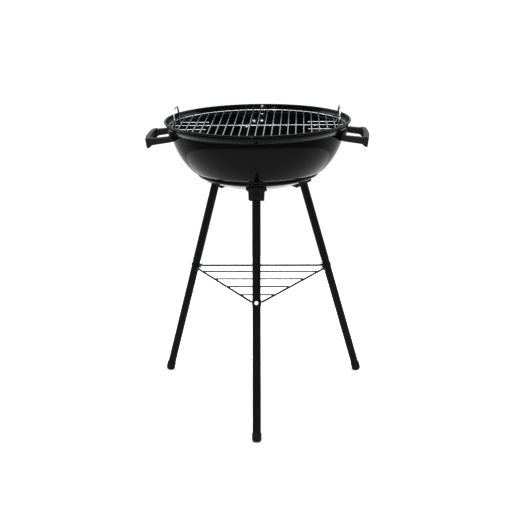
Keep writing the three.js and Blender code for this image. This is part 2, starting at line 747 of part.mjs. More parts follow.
function shelf() {
  const apex = 2 * SHELF_INRADIUS;
  const reach = shelfCornerReach();
  const shapes = [];
  const azimuths = Object.values(LEG_AZIMUTHS);
  for (const azimuth of azimuths) {
    const halfSide = (apex - reach) * Math.tan(degrees(30));
    const start = new THREE.Vector3(reach, halfSide, SHELF_HEIGHT);
    const end = new THREE.Vector3(reach, -halfSide, SHELF_HEIGHT);
    start.applyAxisAngle(new THREE.Vector3(0, 0, 1), degrees(azimuth));
    end.applyAxisAngle(new THREE.Vector3(0, 0, 1), degrees(azimuth + 120));
    shapes.push(rodBetween(start, end, SHELF_WIRE, 8));
    const lug = block(
      [-TUBE_RADIUS - GAP - LUG_THICKNESS, -LUG_WIDTH / 2, SHELF_SCREW_STATION - LUG_HEIGHT / 2],
      [-TUBE_RADIUS - GAP, LUG_WIDTH / 2, SHELF_SCREW_STATION + LUG_HEIGHT / 2],
    );
    const { turn, lean } = legFrame(azimuth);
    turn.updateMatrixWorld(true);
    shapes.push(lug.applyMatrix4(lean.matrixWorld));
  }
  const crossHeight = SHELF_HEIGHT + SHELF_WIRE + SHELF_CROSS_WIRE - OVERLAP;
  for (let i = 0; i < SHELF_CROSS_COUNT; i += 1) {
    const y = SHELF_FIRST_CROSS - i * SHELF_CROSS_PITCH;
    const half = (apex + y) * Math.tan(degrees(30)) + SHELF_CROSS_OVERHANG;
    shapes.push(
      rodBetween(
        new THREE.Vector3(-half, y, crossHeight),
        new THREE.Vector3(half, y, crossHeight),
        SHELF_CROSS_WIRE,
        6,
      ),
    );
  }
  const holes = azimuths.map((azimuth) => {
    const { turn, lean } = legFrame(azimuth);
    turn.updateMatrixWorld(true);
    return sidewaysRod(M5.hole, -20, 0, SHELF_SCREW_STATION).applyMatrix4(lean.matrixWorld);
  });
  return part("shelf", cut(join(shapes), holes), SHELF_PAINT);
}

// Assembly

const footEdge =
  LEG_REACH +
  FOOT_RADIUS * Math.cos(LEG_SPLAY) -
  (FOOT_BASE + FOOT_ROUND) * Math.sin(LEG_SPLAY);
const grill = new THREE.Group();
grill.position.y = (footEdge - RIM_RADIUS) / 2;
grill.add(bowl(), ventDamper(), ventRivet(), charcoalGrate(), cookingGrate(), shelf());
for (const [name, side] of Object.entries({ right: 1, left: -1 })) {
  grill.add(handle(`handle_${name}`, side), ...handleFasteners(name, side));
  grill.add(liftingLoop(name, side));
}
for (const [name, azimuth] of Object.entries(LEG_AZIMUTHS)) {
  grill.add(leg(name, azimuth), ...socketFasteners(name, azimuth));
}

const assembly = new THREE.Group();
assembly.add(grill);

export default assembly;
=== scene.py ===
"""Looks of a kettle charcoal grill on three splayed legs.

Metres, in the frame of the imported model: +Z up, +X towards the right handle and -Y
towards the front leg. Shapes are drawn round the bowl's upright axis and then moved there.
"""

import logging
import math
from collections.abc import Callable, Iterator, Sequence
from contextlib import contextmanager
from dataclasses import dataclass, field
from enum import Enum

import bmesh
import bpy
from mathutils import Matrix, Vector


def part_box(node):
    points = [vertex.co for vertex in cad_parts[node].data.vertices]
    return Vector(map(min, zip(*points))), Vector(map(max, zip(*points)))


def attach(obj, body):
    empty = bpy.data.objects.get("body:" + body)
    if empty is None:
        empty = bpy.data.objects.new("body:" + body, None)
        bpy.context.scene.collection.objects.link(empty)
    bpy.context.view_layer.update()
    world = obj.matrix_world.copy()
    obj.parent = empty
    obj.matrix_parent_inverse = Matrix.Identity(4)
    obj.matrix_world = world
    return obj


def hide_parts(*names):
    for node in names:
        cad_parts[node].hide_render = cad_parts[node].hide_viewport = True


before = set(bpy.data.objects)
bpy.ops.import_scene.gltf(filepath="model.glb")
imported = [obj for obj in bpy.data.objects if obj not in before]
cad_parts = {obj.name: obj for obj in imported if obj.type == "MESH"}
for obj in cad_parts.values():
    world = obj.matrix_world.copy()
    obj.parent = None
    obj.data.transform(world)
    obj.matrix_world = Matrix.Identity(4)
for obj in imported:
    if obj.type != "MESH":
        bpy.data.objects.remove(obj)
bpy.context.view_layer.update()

LOG = logging.getLogger("grill")

# The fitting gap between pieces, how deep welded wires sink into each other, and the
# distance within which vertices are merged.
GAP = 0.0003
SINK = 0.00035
MERGE = 1e-6

FULL_TURN = 2 * math.pi
QUARTER = math.pi / 2

# The angle from which an edge is rounded, and that from which a wire's edge stays sharp.
SHARP = math.radians(38)
WIRE_EDGE = 50

START_PLANE = 0.01
DRILL_SIDES = 32
ROUND_STEPS = 96

# How long cutters are that go through a sheet, a tube and the whole bowl's bottom.
THROUGH = 0.02
THROUGH_TUBE = 0.04
THROUGH_ALL = 0.1

# The bowl's axis.
BOWL_LOW, BOWL_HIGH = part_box("bowl")
AXIS_Y = (BOWL_LOW.y + BOWL_HIGH.y) / 2
SIDEWAYS = Matrix.Rotation(QUARTER, 4, "Y")


class Body(Enum):
    """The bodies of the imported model."""

    STAND = "stand"
    COOKING_GRATE = "cooking_grate"
    CHARCOAL_GRATE = "charcoal_grate"
    DAMPER = "vent_damper"


class Slot(Enum):
    """The material slots of the record."""

    ENAMEL = "black_enamel"
    TUBE = "black_tube_paint"
    WIRE_PAINT = "black_wire_paint"
    PLASTIC = "black_plastic"
    CHROME = "chrome_wire"
    ZINC = "zinc"


class Kind(Enum):
    """The kinds of mesh element that are picked in edit mode."""

    VERT = "verts"
    EDGE = "edges"
    FACE = "faces"


class Side(Enum):
    """The two sides of the bowl, by the turn about its axis."""

    RIGHT = 0.0
    LEFT = math.pi


class Leg(Enum):
    """The three legs, by azimuth."""

    FRONT = math.radians(-90)
    RIGHT = math.radians(30)
    LEFT = math.radians(150)


# Modelling helpers


def activate(piece: bpy.types.Object) -> None:
    """Makes a piece the only selected object and the active one.

    Args:
        piece: The object to select.
    """
    bpy.ops.object.select_all(action="DESELECT")
    piece.select_set(True)
    bpy.context.view_layer.objects.active = piece


def named(name: str) -> bpy.types.Object:
    """Names the object that an operator has just added.

    Args:
        name: The name of the object and its mesh.

    Returns:
        The object.
    """
    piece = bpy.context.object
    piece.name = name
    piece.data.name = name
    return piece


@contextmanager
def editing(piece: bpy.types.Object, kind: Kind) -> Iterator[None]:
    """Opens a piece in edit mode with nothing selected.

    Args:
        piece: The object to edit.
        kind: The kind of element to select.

    Yields:
        Nothing; the piece is in edit mode meanwhile.
    """
    activate(piece)
    bpy.ops.object.mode_set(mode="EDIT")
    bpy.ops.mesh.select_mode(type=kind.name)
    bpy.ops.mesh.select_all(action="DESELECT")
    yield
    bpy.ops.object.mode_set(mode="OBJECT")


def pick(piece: bpy.types.Object, kind: Kind, test: Callable[[Vector], bool]) -> int:
    """Selects what lies where a test says, in a piece that is open in edit mode.

    Args:
        piece: The object in edit mode.
        kind: The kind of element to select.
        test: Takes an element's middle and says whether to select it.

    Returns:
        How many elements were selected.
    """
    mesh = bmesh.from_edit_mesh(piece.data)
    found = 0
    for element in getattr(mesh, kind.value):
        corners = [element] if kind is Kind.VERT else element.verts
        middle = sum((corner.co for corner in corners), Vector()) / len(corners)
        chosen = test(middle)
        element.select_set(chosen)
        found += chosen
    bmesh.update_edit_mesh(piece.data)
    return found


def modify(piece: bpy.types.Object, kind: str, **settings: object) -> None:
    """Adds a modifier with its settings and applies it.

    Args:
        piece: The object to modify.
        kind: The modifier's type.
        **settings: The modifier's properties.
    """
    modifier = piece.modifiers.new(kind.title(), kind)
    for name, value in settings.items():
        setattr(modifier, name, value)
    activate(piece)
    bpy.ops.object.modifier_apply(modifier=modifier.name)


def soften(piece: bpy.types.Object, width: float, segments: int = 3) -> None:
    """Rounds a piece's sharp edges.

    Args:
        piece: The object to round.
        width: The width of the rounding.
        segments: The number of faces across it.
    """
    modify(
        piece,
        "BEVEL",
        width=width,
        segments=segments,
        limit_method="ANGLE",
        angle_limit=SHARP,
        use_clamp_overlap=True,
    )


def combine(piece: bpy.types.Object, other: bpy.types.Object, operation: str) -> None:
    """Joins a solid to a piece or cuts it away, and removes the solid.

    Args:
        piece: The object that is kept.
        other: The solid that is used up.
        operation: UNION or DIFFERENCE.
    """
    modify(piece, "BOOLEAN", object=other, operation=operation, solver="EXACT")
    bpy.data.objects.remove(other)


def joined(name: str, pieces: Sequence[bpy.types.Object]) -> bpy.types.Object:
    """Makes several meshes one object.

    Args:
        name: The name of the result.
        pieces: The objects to join.

    Returns:
        The joined object.
    """
    bpy.ops.object.select_all(action="DESELECT")
    for piece in pieces:
        piece.select_set(True)
    bpy.context.view_layer.objects.active = pieces[0]
    bpy.ops.object.join()
    return named(name)


def copied(piece: bpy.types.Object, name: str) -> bpy.types.Object:
    """Copies a piece with a mesh of its own.

    Args:
        piece: The object to copy.
        name: The name of the copy.

    Returns:
        The copy.
    """
    copy = piece.copy()
    copy.data = piece.data.copy()
    copy.name = name
    copy.data.name = name
    bpy.context.scene.collection.objects.link(copy)
    return copy


def settle(piece: bpy.types.Object, place: Matrix) -> bpy.types.Object:
    """Puts a piece at a place and bakes the place into its mesh.

    Args:
        piece: The object to place.
        place: Where it goes.

    Returns:
        The same object.
    """
    piece.matrix_world = place
    activate(piece)
    bpy.ops.object.transform_apply(location=True, rotation=True, scale=True)
    return piece


def close_up(piece: bpy.types.Object) -> None:
    """Merges a piece's doubles and turns its faces outwards.

    Args:
        piece: The object to close.
    """
    with editing(piece, Kind.VERT):
        bpy.ops.mesh.select_all(action="SELECT")
        bpy.ops.mesh.remove_doubles(threshold=MERGE)
        bpy.ops.mesh.normals_make_consistent(inside=False)


def trace(name: str, points: Sequence[Vector]) -> bpy.types.Object:
    """Draws a line through points, one extruded vertex after another.

    Args:
        name: The name of the new object.
        points: The points of the line.

    Returns:
        An object that holds the line.
    """
    bpy.ops.mesh.primitive_plane_add(size=START_PLANE)
    piece = named(name)
    with editing(piece, Kind.VERT):
        bpy.ops.mesh.select_all(action="SELECT")
        bpy.ops.mesh.merge(type="CENTER")
        bpy.ops.transform.translate(value=points[0])
        for before, after in zip(points, points[1:]):
            step = {"value": after - before}
            bpy.ops.mesh.extrude_vertices_move(TRANSFORM_OT_translate=step)
    return piece


def turned(
    name: str,
    profile: Sequence[tuple[float, float]],
    steps: int,
    start: float = 0.0,
    angle: float = FULL_TURN,
) -> bpy.types.Object:
    """Spins a profile about the Z axis.

    Args:
        name: The name of the new object.
        profile: Pairs of radius and height.
        steps: The number of faces round the axis.
        start: The azimuth where the spin starts.
        angle: How far it goes.

    Returns:
        The spun object, closed where the profile is closed.
    """
    turn = Matrix.Rotation(start, 4, "Z")
    piece = trace(name, [turn @ Vector((radius, 0, height)) for radius, height in profile])
    with editing(piece, Kind.VERT):
        bpy.ops.mesh.select_all(action="SELECT")
        if angle < FULL_TURN:
            bpy.ops.mesh.edge_face_add()
        bpy.ops.mesh.spin(
            steps=steps,
            angle=angle,
            center=(0, 0, 0),
            axis=(0, 0, -1),
            use_auto_merge=angle >= FULL_TURN,
        )
    close_up(piece)
    return piece


def prism(
    name: str, outline: Sequence[Vector], strides: Sequence[Vector]
) -> bpy.types.Object:
    """Fills an outline and extrudes it, stride by stride.

    Args:
        name: The name of the new object.
        outline: The corners of the outline.
        strides: How far each extrusion goes.

    Returns:
        The closed solid.
    """
    piece = trace(name, outline)
    with editing(piece, Kind.VERT):
        bpy.ops.mesh.select_all(action="SELECT")
        bpy.ops.mesh.edge_face_add()
        bpy.ops.mesh.select_mode(type="FACE")
        for stride in strides:
            step = {"value": stride}
            bpy.ops.mesh.extrude_region_move(TRANSFORM_OT_translate=step)
    close_up(piece)
    return piece


def drill(radius: float, length: float, place: Matrix) -> bpy.types.Object:
    """Makes a round cutter.

    Args:
        radius: The radius of the hole.
        length: The length of the cutter.
        place: Its middle, with its axis along the place's Z.

    Returns:
        The cutter.
    """
    bpy.ops.mesh.primitive_cylinder_add(vertices=DRILL_SIDES, radius=radius, depth=length)
    return settle(named("cutter"), place)


def smooth(piece: bpy.types.Object, degrees: float = 35) -> None:
    """Shades a piece smooth, apart from its sharp edges.

    Args:
        piece: The object to shade.
        degrees: The angle from which an edge is sharp.
    """
    activate(piece)
    bpy.ops.object.shade_smooth_by_angle(angle=math.radians(degrees))


@dataclass
class Wire:
    """A round wire that is drawn straight and bent, with rounded ends.

    An end widens from its tip over a shoulder to the full wire. The four shares are of
    the wire's radius: how wide the tip and the shoulder are, and how far apart.
    """

    radius: float
    sides: int = 12
    tip_width: float = 0.55
    shoulder_width: float = 0.88
    tip_step: float = 0.18
    shoulder_step: float = 0.35
    piece: bpy.types.Object = field(init=False)
    tip: Vector = field(init=False)
    heading: Vector = field(init=False)

    def start(self, name: str, tip: Vector, heading: Vector) -> "Wire":
        """Cuts the wire's first end and rounds it.

        Args:
            name: The name of the wire.
            tip: The end of the wire.
            heading: The way that it is drawn.

        Returns:
            The wire, open in edit mode.
        """
        self.tip = tip.copy()
        self.heading = heading.normalized()
        bpy.ops.mesh.primitive_circle_add(
            vertices=self.sides,
            radius=self.radius * self.tip_width,
            fill_type="NGON",
            location=tip,
            rotation=self.heading.to_track_quat("Z", "Y").to_euler(),
        )
        self.piece = settle(named(name), bpy.context.object.matrix_world.copy())
        bpy.ops.object.mode_set(mode="EDIT")
        bpy.ops.mesh.select_mode(type="FACE")
        bpy.ops.mesh.select_all(action="SELECT")
        self._swell(self.tip_step, self.shoulder_width / self.tip_width)
        self._swell(self.shoulder_step, 1 / self.shoulder_width)
        return self

    def end_length(self) -> float:
        """Gives the length of one rounded end."""
        return self.radius * (self.tip_step + self.shoulder_step)

    def _swell(self, along: float, factor: float) -> None:
        """Extrudes by a share of the radius and scales the new section.

        Args:
            along: The share of the radius.
            factor: How much wider the new section is.
        """
        self.straight(self.radius * along)
        bpy.ops.transform.resize(value=(factor,) * 3, center_override=self.tip)

    def straight(self, length: float) -> "Wire":
        """Draws the wire straight on.

        Args:
            length: How far it goes.

        Returns:
            The wire.
        """
        step = self.heading * length
        bpy.ops.mesh.extrude_region_move(TRANSFORM_OT_translate={"value": step})
        self.tip += step
        return self

    def bend(self, towards: Vector, radius: float, angle: float, steps: int) -> "Wire":
        """Bends the wire.

        Args:
            towards: The side that it bends to, square to its heading.
            radius: The bend's radius.
            angle: How far it bends.
            steps: The number of sections in the bend.

        Returns:
            The wire.
        """
        centre = self.tip + towards.normalized() * radius
        axis = self.heading.cross(towards).normalized()
        bpy.ops.mesh.spin(
            steps=steps, angle=angle, center=centre, axis=-axis, use_auto_merge=False
        )
        turn = Matrix.Rotation(angle, 3, axis)
        self.tip = centre + turn @ (self.tip - centre)
        self.heading = turn @ self.heading
        return self

    def end(self) -> bpy.types.Object:
        """Rounds the last end and closes the mesh.

        Returns:
            The finished wire.
        """
        self._swell(self.shoulder_step, self.shoulder_width)
        self._swell(self.tip_step, self.tip_width / self.shoulder_width)
        bpy.ops.object.mode_set(mode="OBJECT")
        close_up(self.piece)
        return self.piece


def wire_between(name: str, start: Vector, end: Vector, radius: float) -> bpy.types.Object:
    """Draws a straight wire between two points.

    Args:
        name: The name of the wire.
        start: One end.
        end: The other end.
        radius: The wire's radius.

    Returns:
        The wire.
    """
    run = end - start
    drawn = Wire(radius).start(name, start, run)
    return drawn.straight(run.length - 2 * drawn.end_length()).end()


def wire_ring(
    name: str,
    ring: float,
    height: float,
    radius: float,
    sides: int = 14,
    steps: int = 144,
) -> bpy.types.Object:
    """Spins a wire's section into a ring about the Z axis.

    Args:
        name: The name of the ring.
        ring: The radius of the ring.
        height: Its height.
        radius: The wire's radius.
        sides: The number of faces round the wire.
        steps: The number of sections round the ring.

    Returns:
        The ring.
    """
    bpy.ops.mesh.primitive_circle_add(
        vertices=sides,
        radius=radius,
        location=(ring, 0, height),
        rotation=(QUARTER, 0, 0),
    )
    piece = settle(named(name), bpy.context.object.matrix_world.copy())
    with editing(piece, Kind.EDGE):
        bpy.ops.mesh.select_all(action="SELECT")
        bpy.ops.mesh.spin(
            steps=steps, angle=FULL_TURN, center=(0, 0, 0), axis=(0, 0, 1), use_auto_merge=True
        )
    close_up(piece)
    return piece


def weld_spot(at: Vector, length: float, width: float, height: float) -> bpy.types.Object:
    """Makes the flattened bead of metal that a spot weld leaves where two wires cross.

    Args:
        at: The middle of the weld.
        length: Its size along X.
        width: Its size along Y.
        height: Its size along Z.

    Returns:
        The bead.
    """
    bpy.ops.mesh.primitive_ico_sphere_add(subdivisions=2, radius=0.5, location=at)
    piece = named("weld")
    piece.scale = (length, width, height)
    return settle(piece, piece.matrix_basis.copy())


# Finishes


def linear(colour: str) -> tuple[float, float, float, float]:
    """Turns an sRGB hex colour into a linear one.

    Args:
        colour: The colour as #rrggbb.

    Returns:
        Linear red, green, blue and alpha.
    """
    channels = [int(colour[i : i + 2], 16) / 255 for i in (1, 3, 5)]
    low = [value / 12.92 for value in channels]
    high = [((value + 0.055) / 1.055) ** 2.4 for value in channels]
    red, green, blue = (a if c <= 0.04045 else b for a, b, c in zip(low, high, channels))
    return (red, green, blue, 1.0)


def per_metre(millimetres: float) -> float:
    """Gives the pattern scale at which one feature is so many millimetres wide."""
    return 1000 / millimetres


def add(
    tree: bpy.types.NodeTree,
    kind: str,
    inputs: dict[str | int, object] | None = None,
    **settings: object,
) -> bpy.types.Node:
    """Adds a node with its settings and links.

    Args:
        tree: The node tree.
        kind: The node's type.
        inputs: Values for the node's inputs, or sockets to link to them.
        **settings: The node's properties.

    Returns:
        The node.
    """
    node = tree.nodes.new(kind)
    for name, value in settings.items():
        setattr(node, name, value)
    for name, value in (inputs or {}).items():
        if isinstance(value, bpy.types.NodeSocket):
            tree.links.new(value, node.inputs[name])
        else:
            node.inputs[name].default_value = value
    return node


@dataclass(frozen=True)
class Finish:
    """A surface with a mottled colour, an uneven gloss and a relief."""

    name: str
    dark: str
    light: str
    mottle_mm: float
    gloss_mm: float
    roughness: tuple[float, float]
    relief_mm: float
    relief_depth: float
    metallic: float = 0.0
    ior: float = 1.5
    specular: float = 0.5

    def material(self) -> bpy.types.Material:
        """Makes the material, or finds the one that was made before.

        Returns:
            The material.
        """
        found = bpy.data.materials.get(self.name)
        if found:
            return found
        made = bpy.data.materials.new(self.name)
        made.use_nodes = True
        tree = made.node_tree
        tree.nodes.clear()
        place = add(tree, "ShaderNodeTexCoord").outputs["Object"]
        output = add(tree, "ShaderNodeOutputMaterial")
        shader = add(
            tree,
            "ShaderNodeBsdfPrincipled",
            {
                "Base Color": self.colour(tree, place),
                "Roughness": self.gloss(tree, place),
                "Normal": self.relief(tree, place),
                "Metallic": self.metallic,
                "IOR": self.ior,
                "Specular IOR Level": self.specular,
            },
        )
        tree.links.new(shader.outputs["BSDF"], output.inputs["Surface"])
        return made

    def colour(
        self, tree: bpy.types.NodeTree, place: bpy.types.NodeSocket
    ) -> bpy.types.NodeSocket:
        """Mottles the colour between its dark and its light.

        Args:
            tree: The material's node tree.
            place: The place on the object.

        Returns:
            The colour.
        """
        noise = add(
            tree,
            "ShaderNodeTexNoise",
            {"Vector": place, "Scale": per_metre(self.mottle_mm), "Detail": 3.0},
        )
        ramp = add(tree, "ShaderNodeValToRGB", {"Fac": noise.outputs["Fac"]})
        ramp.color_ramp.elements[0].position = 0.35
        ramp.color_ramp.elements[0].color = linear(self.dark)
        ramp.color_ramp.elements[1].position = 0.65
        ramp.color_ramp.elements[1].color = linear(self.light)
        return ramp.outputs["Color"]

    def gloss(
        self, tree: bpy.types.NodeTree, place: bpy.types.NodeSocket
    ) -> bpy.types.NodeSocket:
        """Varies the roughness between its two limits.

        Args:
            tree: The material's node tree.
            place: The place on the object.

        Returns:
            The roughness.
        """
        noise = add(
            tree,
            "ShaderNodeTexNoise",
            {"Vector": place, "Scale": per_metre(self.gloss_mm), "Detail": 2.0},
        )
        spread = add(
            tree,
            "ShaderNodeMapRange",
            {
                "Value": noise.outputs["Fac"],
                "From Min": 0.3,
                "From Max": 0.7,
                "To Min": self.roughness[0],
                "To Max": self.roughness[1],
            },
        )
        return spread.outputs["Result"]

    def relief(
        self, tree: bpy.types.NodeTree, place: bpy.types.NodeSocket
    ) -> bpy.types.NodeSocket:
        """Raises the surface's grain.

        Args:
            tree: The material's node tree.
            place: The place on the object.

        Returns:
            The bumped normal.
        """
        noise = add(
            tree,
            "ShaderNodeTexNoise",
            {
                "Vector": place,
                "Scale": per_metre(self.relief_mm),
                "Detail": 2.0,
            },
        )
        bump = add(
            tree,
            "ShaderNodeBump",
            {"Height": noise.outputs["Fac"], "Distance": self.relief_depth},
        )
        return bump.outputs["Normal"]


# Porcelain enamel, sprayed on steel and fired: a deep black glass coat whose faint
# orange peel, a few millimetres across, makes reflections swim a little. All the black
# finishes have a lowered specular level, because the studio round them is so white.
ENAMEL = Finish(
    name="porcelain_enamel_black",
    dark="#08090a",
    light="#0e0f11",
    mottle_mm=22,
    gloss_mm=14,
    roughness=(0.07, 0.12),
    relief_mm=4.5,
    relief_depth=0.00001,
    specular=0.2,
)
# Powder coat on steel tube: a satin black film with the fine even texture of fused
# powder, which spreads a highlight into a soft streak along the tube.
POWDER_COAT = Finish(
    name="powder_coat_satin_black",
    dark="#0c0d0e",
    light="#131415",
    mottle_mm=9,
    gloss_mm=5,
    roughness=(0.5, 0.6),
    relief_mm=1.1,
    relief_depth=0.00002,
    specular=0.22,
)
# Dipped black paint on thin wire: a little glossier than powder coat.
WIRE_PAINT = Finish(
    name="dipped_paint_black",
    dark="#0b0c0d",
    light="#121314",
    mottle_mm=7,
    gloss_mm=4,
    roughness=(0.3, 0.44),
    relief_mm=2.0,
    relief_depth=0.00002,
    specular=0.25,
)
# Injection-moulded polypropylene: matte black with a spark-eroded grain. The real
# grain is about 0.2 mm, and it is drawn at 0.7 mm so that it shows.
POLYPROPYLENE = Finish(
    name="moulded_polypropylene_black",
    dark="#131415",
    light="#1b1c1e",
    mottle_mm=6,
    gloss_mm=3,
    roughness=(0.55, 0.65),
    relief_mm=0.7,
    relief_depth=0.00003,
    ior=1.49,
    specular=0.3,
)
# Compression-moulded phenolic: the heat-proof resin of cookware handles, semi-matte
# black with faint, wide flow marks.
PHENOLIC = Finish(
    name="moulded_phenolic_black",
    dark="#0f1011",
    light="#17181a",
    mottle_mm=12,
    gloss_mm=6,
    roughness=(0.4, 0.52),
    relief_mm=0.9,
    relief_depth=0.00003,
    ior=1.6,
    specular=0.38,
)
# Bright nickel-chrome plate on drawn wire: a mirror softened by the drawing marks.
CHROME = Finish(
    name="nickel_chrome_plate",
    dark="#989a9c",
    light="#b4b6b7",
    mottle_mm=6,
    gloss_mm=3,
    roughness=(0.18, 0.28),
    relief_mm=0.8,
    relief_depth=0.00002,
    metallic=1.0,
)
# Bright zinc plate, barrel plated and clear passivated: pale silver with a slightly
# cloudy, uneven gloss.
ZINC = Finish(
    name="zinc_plate_clear_passivated",
    dark="#d3d6d9",
    light="#eceded",
    mottle_mm=2.5,
    gloss_mm=1.5,
    roughness=(0.3, 0.42),
    relief_mm=0.5,
    relief_depth=0.00002,
    metallic=1.0,
)


def dress(
    piece: bpy.types.Object, finish: Finish, slot: Slot, body: Body, *nodes: str
) -> bpy.types.Object:
    """Gives a finished piece its material and body, and hides the CAD nodes that it stands for.

    Args:
        piece: The finished piece.
        finish: Its surface.
        slot: The record's slot for that surface; not used.
        body: The body that it rides on.
        *nodes: The CAD nodes that it replaces.

    Returns:
        The piece.
    """
    piece.data.materials.clear()
    piece.data.materials.append(finish.material())
    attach(piece, body.value)
    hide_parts(*nodes)
    LOG.info("%s: %d faces on %s", piece.name, len(piece.data.polygons), body.value)
    return piece


# The bowl


@dataclass
class BowlShape:
    """The bowl's outer face: a shallow dish, a step, a rounded body and a flared lip."""

    dish_height: float = 0.530
    dish_curve: float = 0.316
    panel_radius: float = 0.046
    dish_radius: float = 0.141
    body_radius: float = 0.206
    body_depth: float = 0.175
    body_centre: float = 0.690
    body_foot: float = 0.5775
    body_top: float = 0.672
    sheet: float = 0.0012
    curl_radius: float = 0.0014
    curl_centre: tuple[float, float] = (0.217, 0.691)
    curl_step: float = math.radians(26)
    curl_steps: int = 9
    dish_steps: int = 14
    body_steps: int = 28
    brim: float = 0.7
    step_profile: tuple[tuple[float, float], ...] = (
        (0.1434, 0.5648),
        (0.1446, 0.5664),
        (0.145, 0.5685),
        (0.145, 0.573),
        (0.1455, 0.5745),
        (0.147, 0.5755),
        (0.1505, 0.5760),
    )
    lip_profile: tuple[tuple[float, float], ...] = (
        (0.2062, 0.6739),
        (0.2086, 0.6762),
        (0.2110, 0.6780),
        (0.2128, 0.6800),
        (0.2141, 0.6825),
        (0.2149, 0.6843),
        (0.2153, 0.6860),
        (0.2155, 0.6885),
    )

    def dish(self, radius: float) -> float:
        """Gives the dish's height at a radius."""
        return self.dish_height + self.dish_curve - math.sqrt(self.dish_curve**2 - radius**2)

    def body(self, height: float) -> float:
        """Gives the body's radius at a height."""
        share = (self.body_centre - height) / self.body_depth
        return self.body_radius * math.sqrt(1 - share**2)

    def outside(self) -> list[tuple[float, float]]:
        """Gives the outer face from the middle of the dish to the lip.

        Returns:
            Pairs of radius and height.
        """
        points = [(0.0, self.dish(self.panel_radius))]
        spread = self.dish_radius - self.panel_radius
        for i in range(self.dish_steps + 1):
            radius = self.panel_radius + spread * i / self.dish_steps
            points.append((radius, self.dish(radius)))
        points += self.step_profile
        for i in range(self.body_steps + 1):
            rise = math.sin(QUARTER * i / self.body_steps)
            height = self.body_foot + (self.body_top - self.body_foot) * rise
            points.append((self.body(height), height))
        points += self.lip_profile
        return points

    def with_curl(self) -> list[tuple[float, float]]:
        """Gives the outer face with its edge curled outward and down.

        Returns:
            Pairs of radius and height.
        """
        radius, height = self.curl_centre
        curl = []
        for i in range(self.curl_steps + 1):
            angle = math.pi - self.curl_step * i
            across = self.curl_radius * math.cos(angle)
            curl.append((radius + across, height + self.curl_radius * math.sin(angle)))
        return self.outside() + curl

    def filled(self) -> bpy.types.Object:
        """Makes a solid of the bowl and all it holds, grown by the fitting gap.

        Returns:
            A cutter that shapes what fits against the bowl.
        """
        points = self.outside()
        grown = []
        for i, (radius, height) in enumerate(points):
            before, after = points[max(i - 1, 0)], points[min(i + 1, len(points) - 1)]
            run, rise = after[0] - before[0], after[1] - before[1]
            length = math.hypot(run, rise)
            out = 0.0 if i == 0 else radius + GAP * rise / length
            grown.append((out, height - GAP * run / length))
        grown += [(grown[-1][0], self.brim), (0.0, self.brim)]
        return turned("cutter", grown, ROUND_STEPS)


SHAPE = BowlShape()


def on_bowl(azimuth: float, radius: float, height: float, tilt: float) -> Matrix:
    """Gives a place on the bowl whose X points outward and whose Z is tipped.

    Args:
        azimuth: The place's turn about the bowl's axis.
        radius: Its distance from the axis.
        height: Its height.
        tilt: How far its Z is tipped about its Y.

    Returns:
        The place.
    """
    return (
        Matrix.Rotation(azimuth, 4, "Z")
        @ Matrix.Translation((radius, 0, height))
        @ Matrix.Rotation(tilt, 4, "Y")
    )


def socket_bolt_place(azimuth: float, radius: float = 0.0956) -> Matrix:
    """Gives the place of a socket bolt, square to the dish and pointing up.

    Args:
        azimuth: The bolt's turn about the bowl's axis.
        radius: Its distance from the axis.

    Returns:
        The place.
    """
    tilt = -math.asin(radius / SHAPE.dish_curve)
    return on_bowl(azimuth, radius, SHAPE.dish(radius), tilt)


def handle_screw_place(
    azimuth: float, height: float = 0.6585, share: float = 0.9979, step: float = 0.001
) -> Matrix:
    """Gives the place of a handle screw, square to the wall and pointing in.

    Args:
        azimuth: The screw's turn about the bowl's axis.
        height: Its height.
        share: Its distance from the axis, as a share of the wall's outer radius.
        step: The rise over which the wall's slope is taken.

    Returns:
        The place, a little inside the wall's outer face.
    """
    slope = (SHAPE.body(height + step) - SHAPE.body(height)) / step
    tilt = -QUARTER + math.atan(slope)
    return on_bowl(azimuth, SHAPE.body(height) * share, height, tilt)


def vent_hole_places(
    height: float, circle: float = 0.027, first: float = 45, count: int = 4
) -> list[Matrix]:
    """Gives the places of the vent holes, which the dish and the damper share.

    Args:
        height: The height of the places.
        circle: The radius of the circle that the holes lie on.
        first: The azimuth of the first hole in degrees.
        count: The number of holes.

    Returns:
        One place for each hole.
    """
    turns = [math.radians(first + 360 // count * i) for i in range(count)]
    out = Matrix.Translation((circle, 0, height))
    return [Matrix.Rotation(turn, 4, "Z") @ out for turn in turns]


VENT_HOLE = 0.010
HANDLE_SCREW_TURN = math.radians(11.25)
HANDLE_SCREW_TURNS = (HANDLE_SCREW_TURN, -HANDLE_SCREW_TURN)
TO_AXIS = Matrix.Translation((0, AXIS_Y, 0))


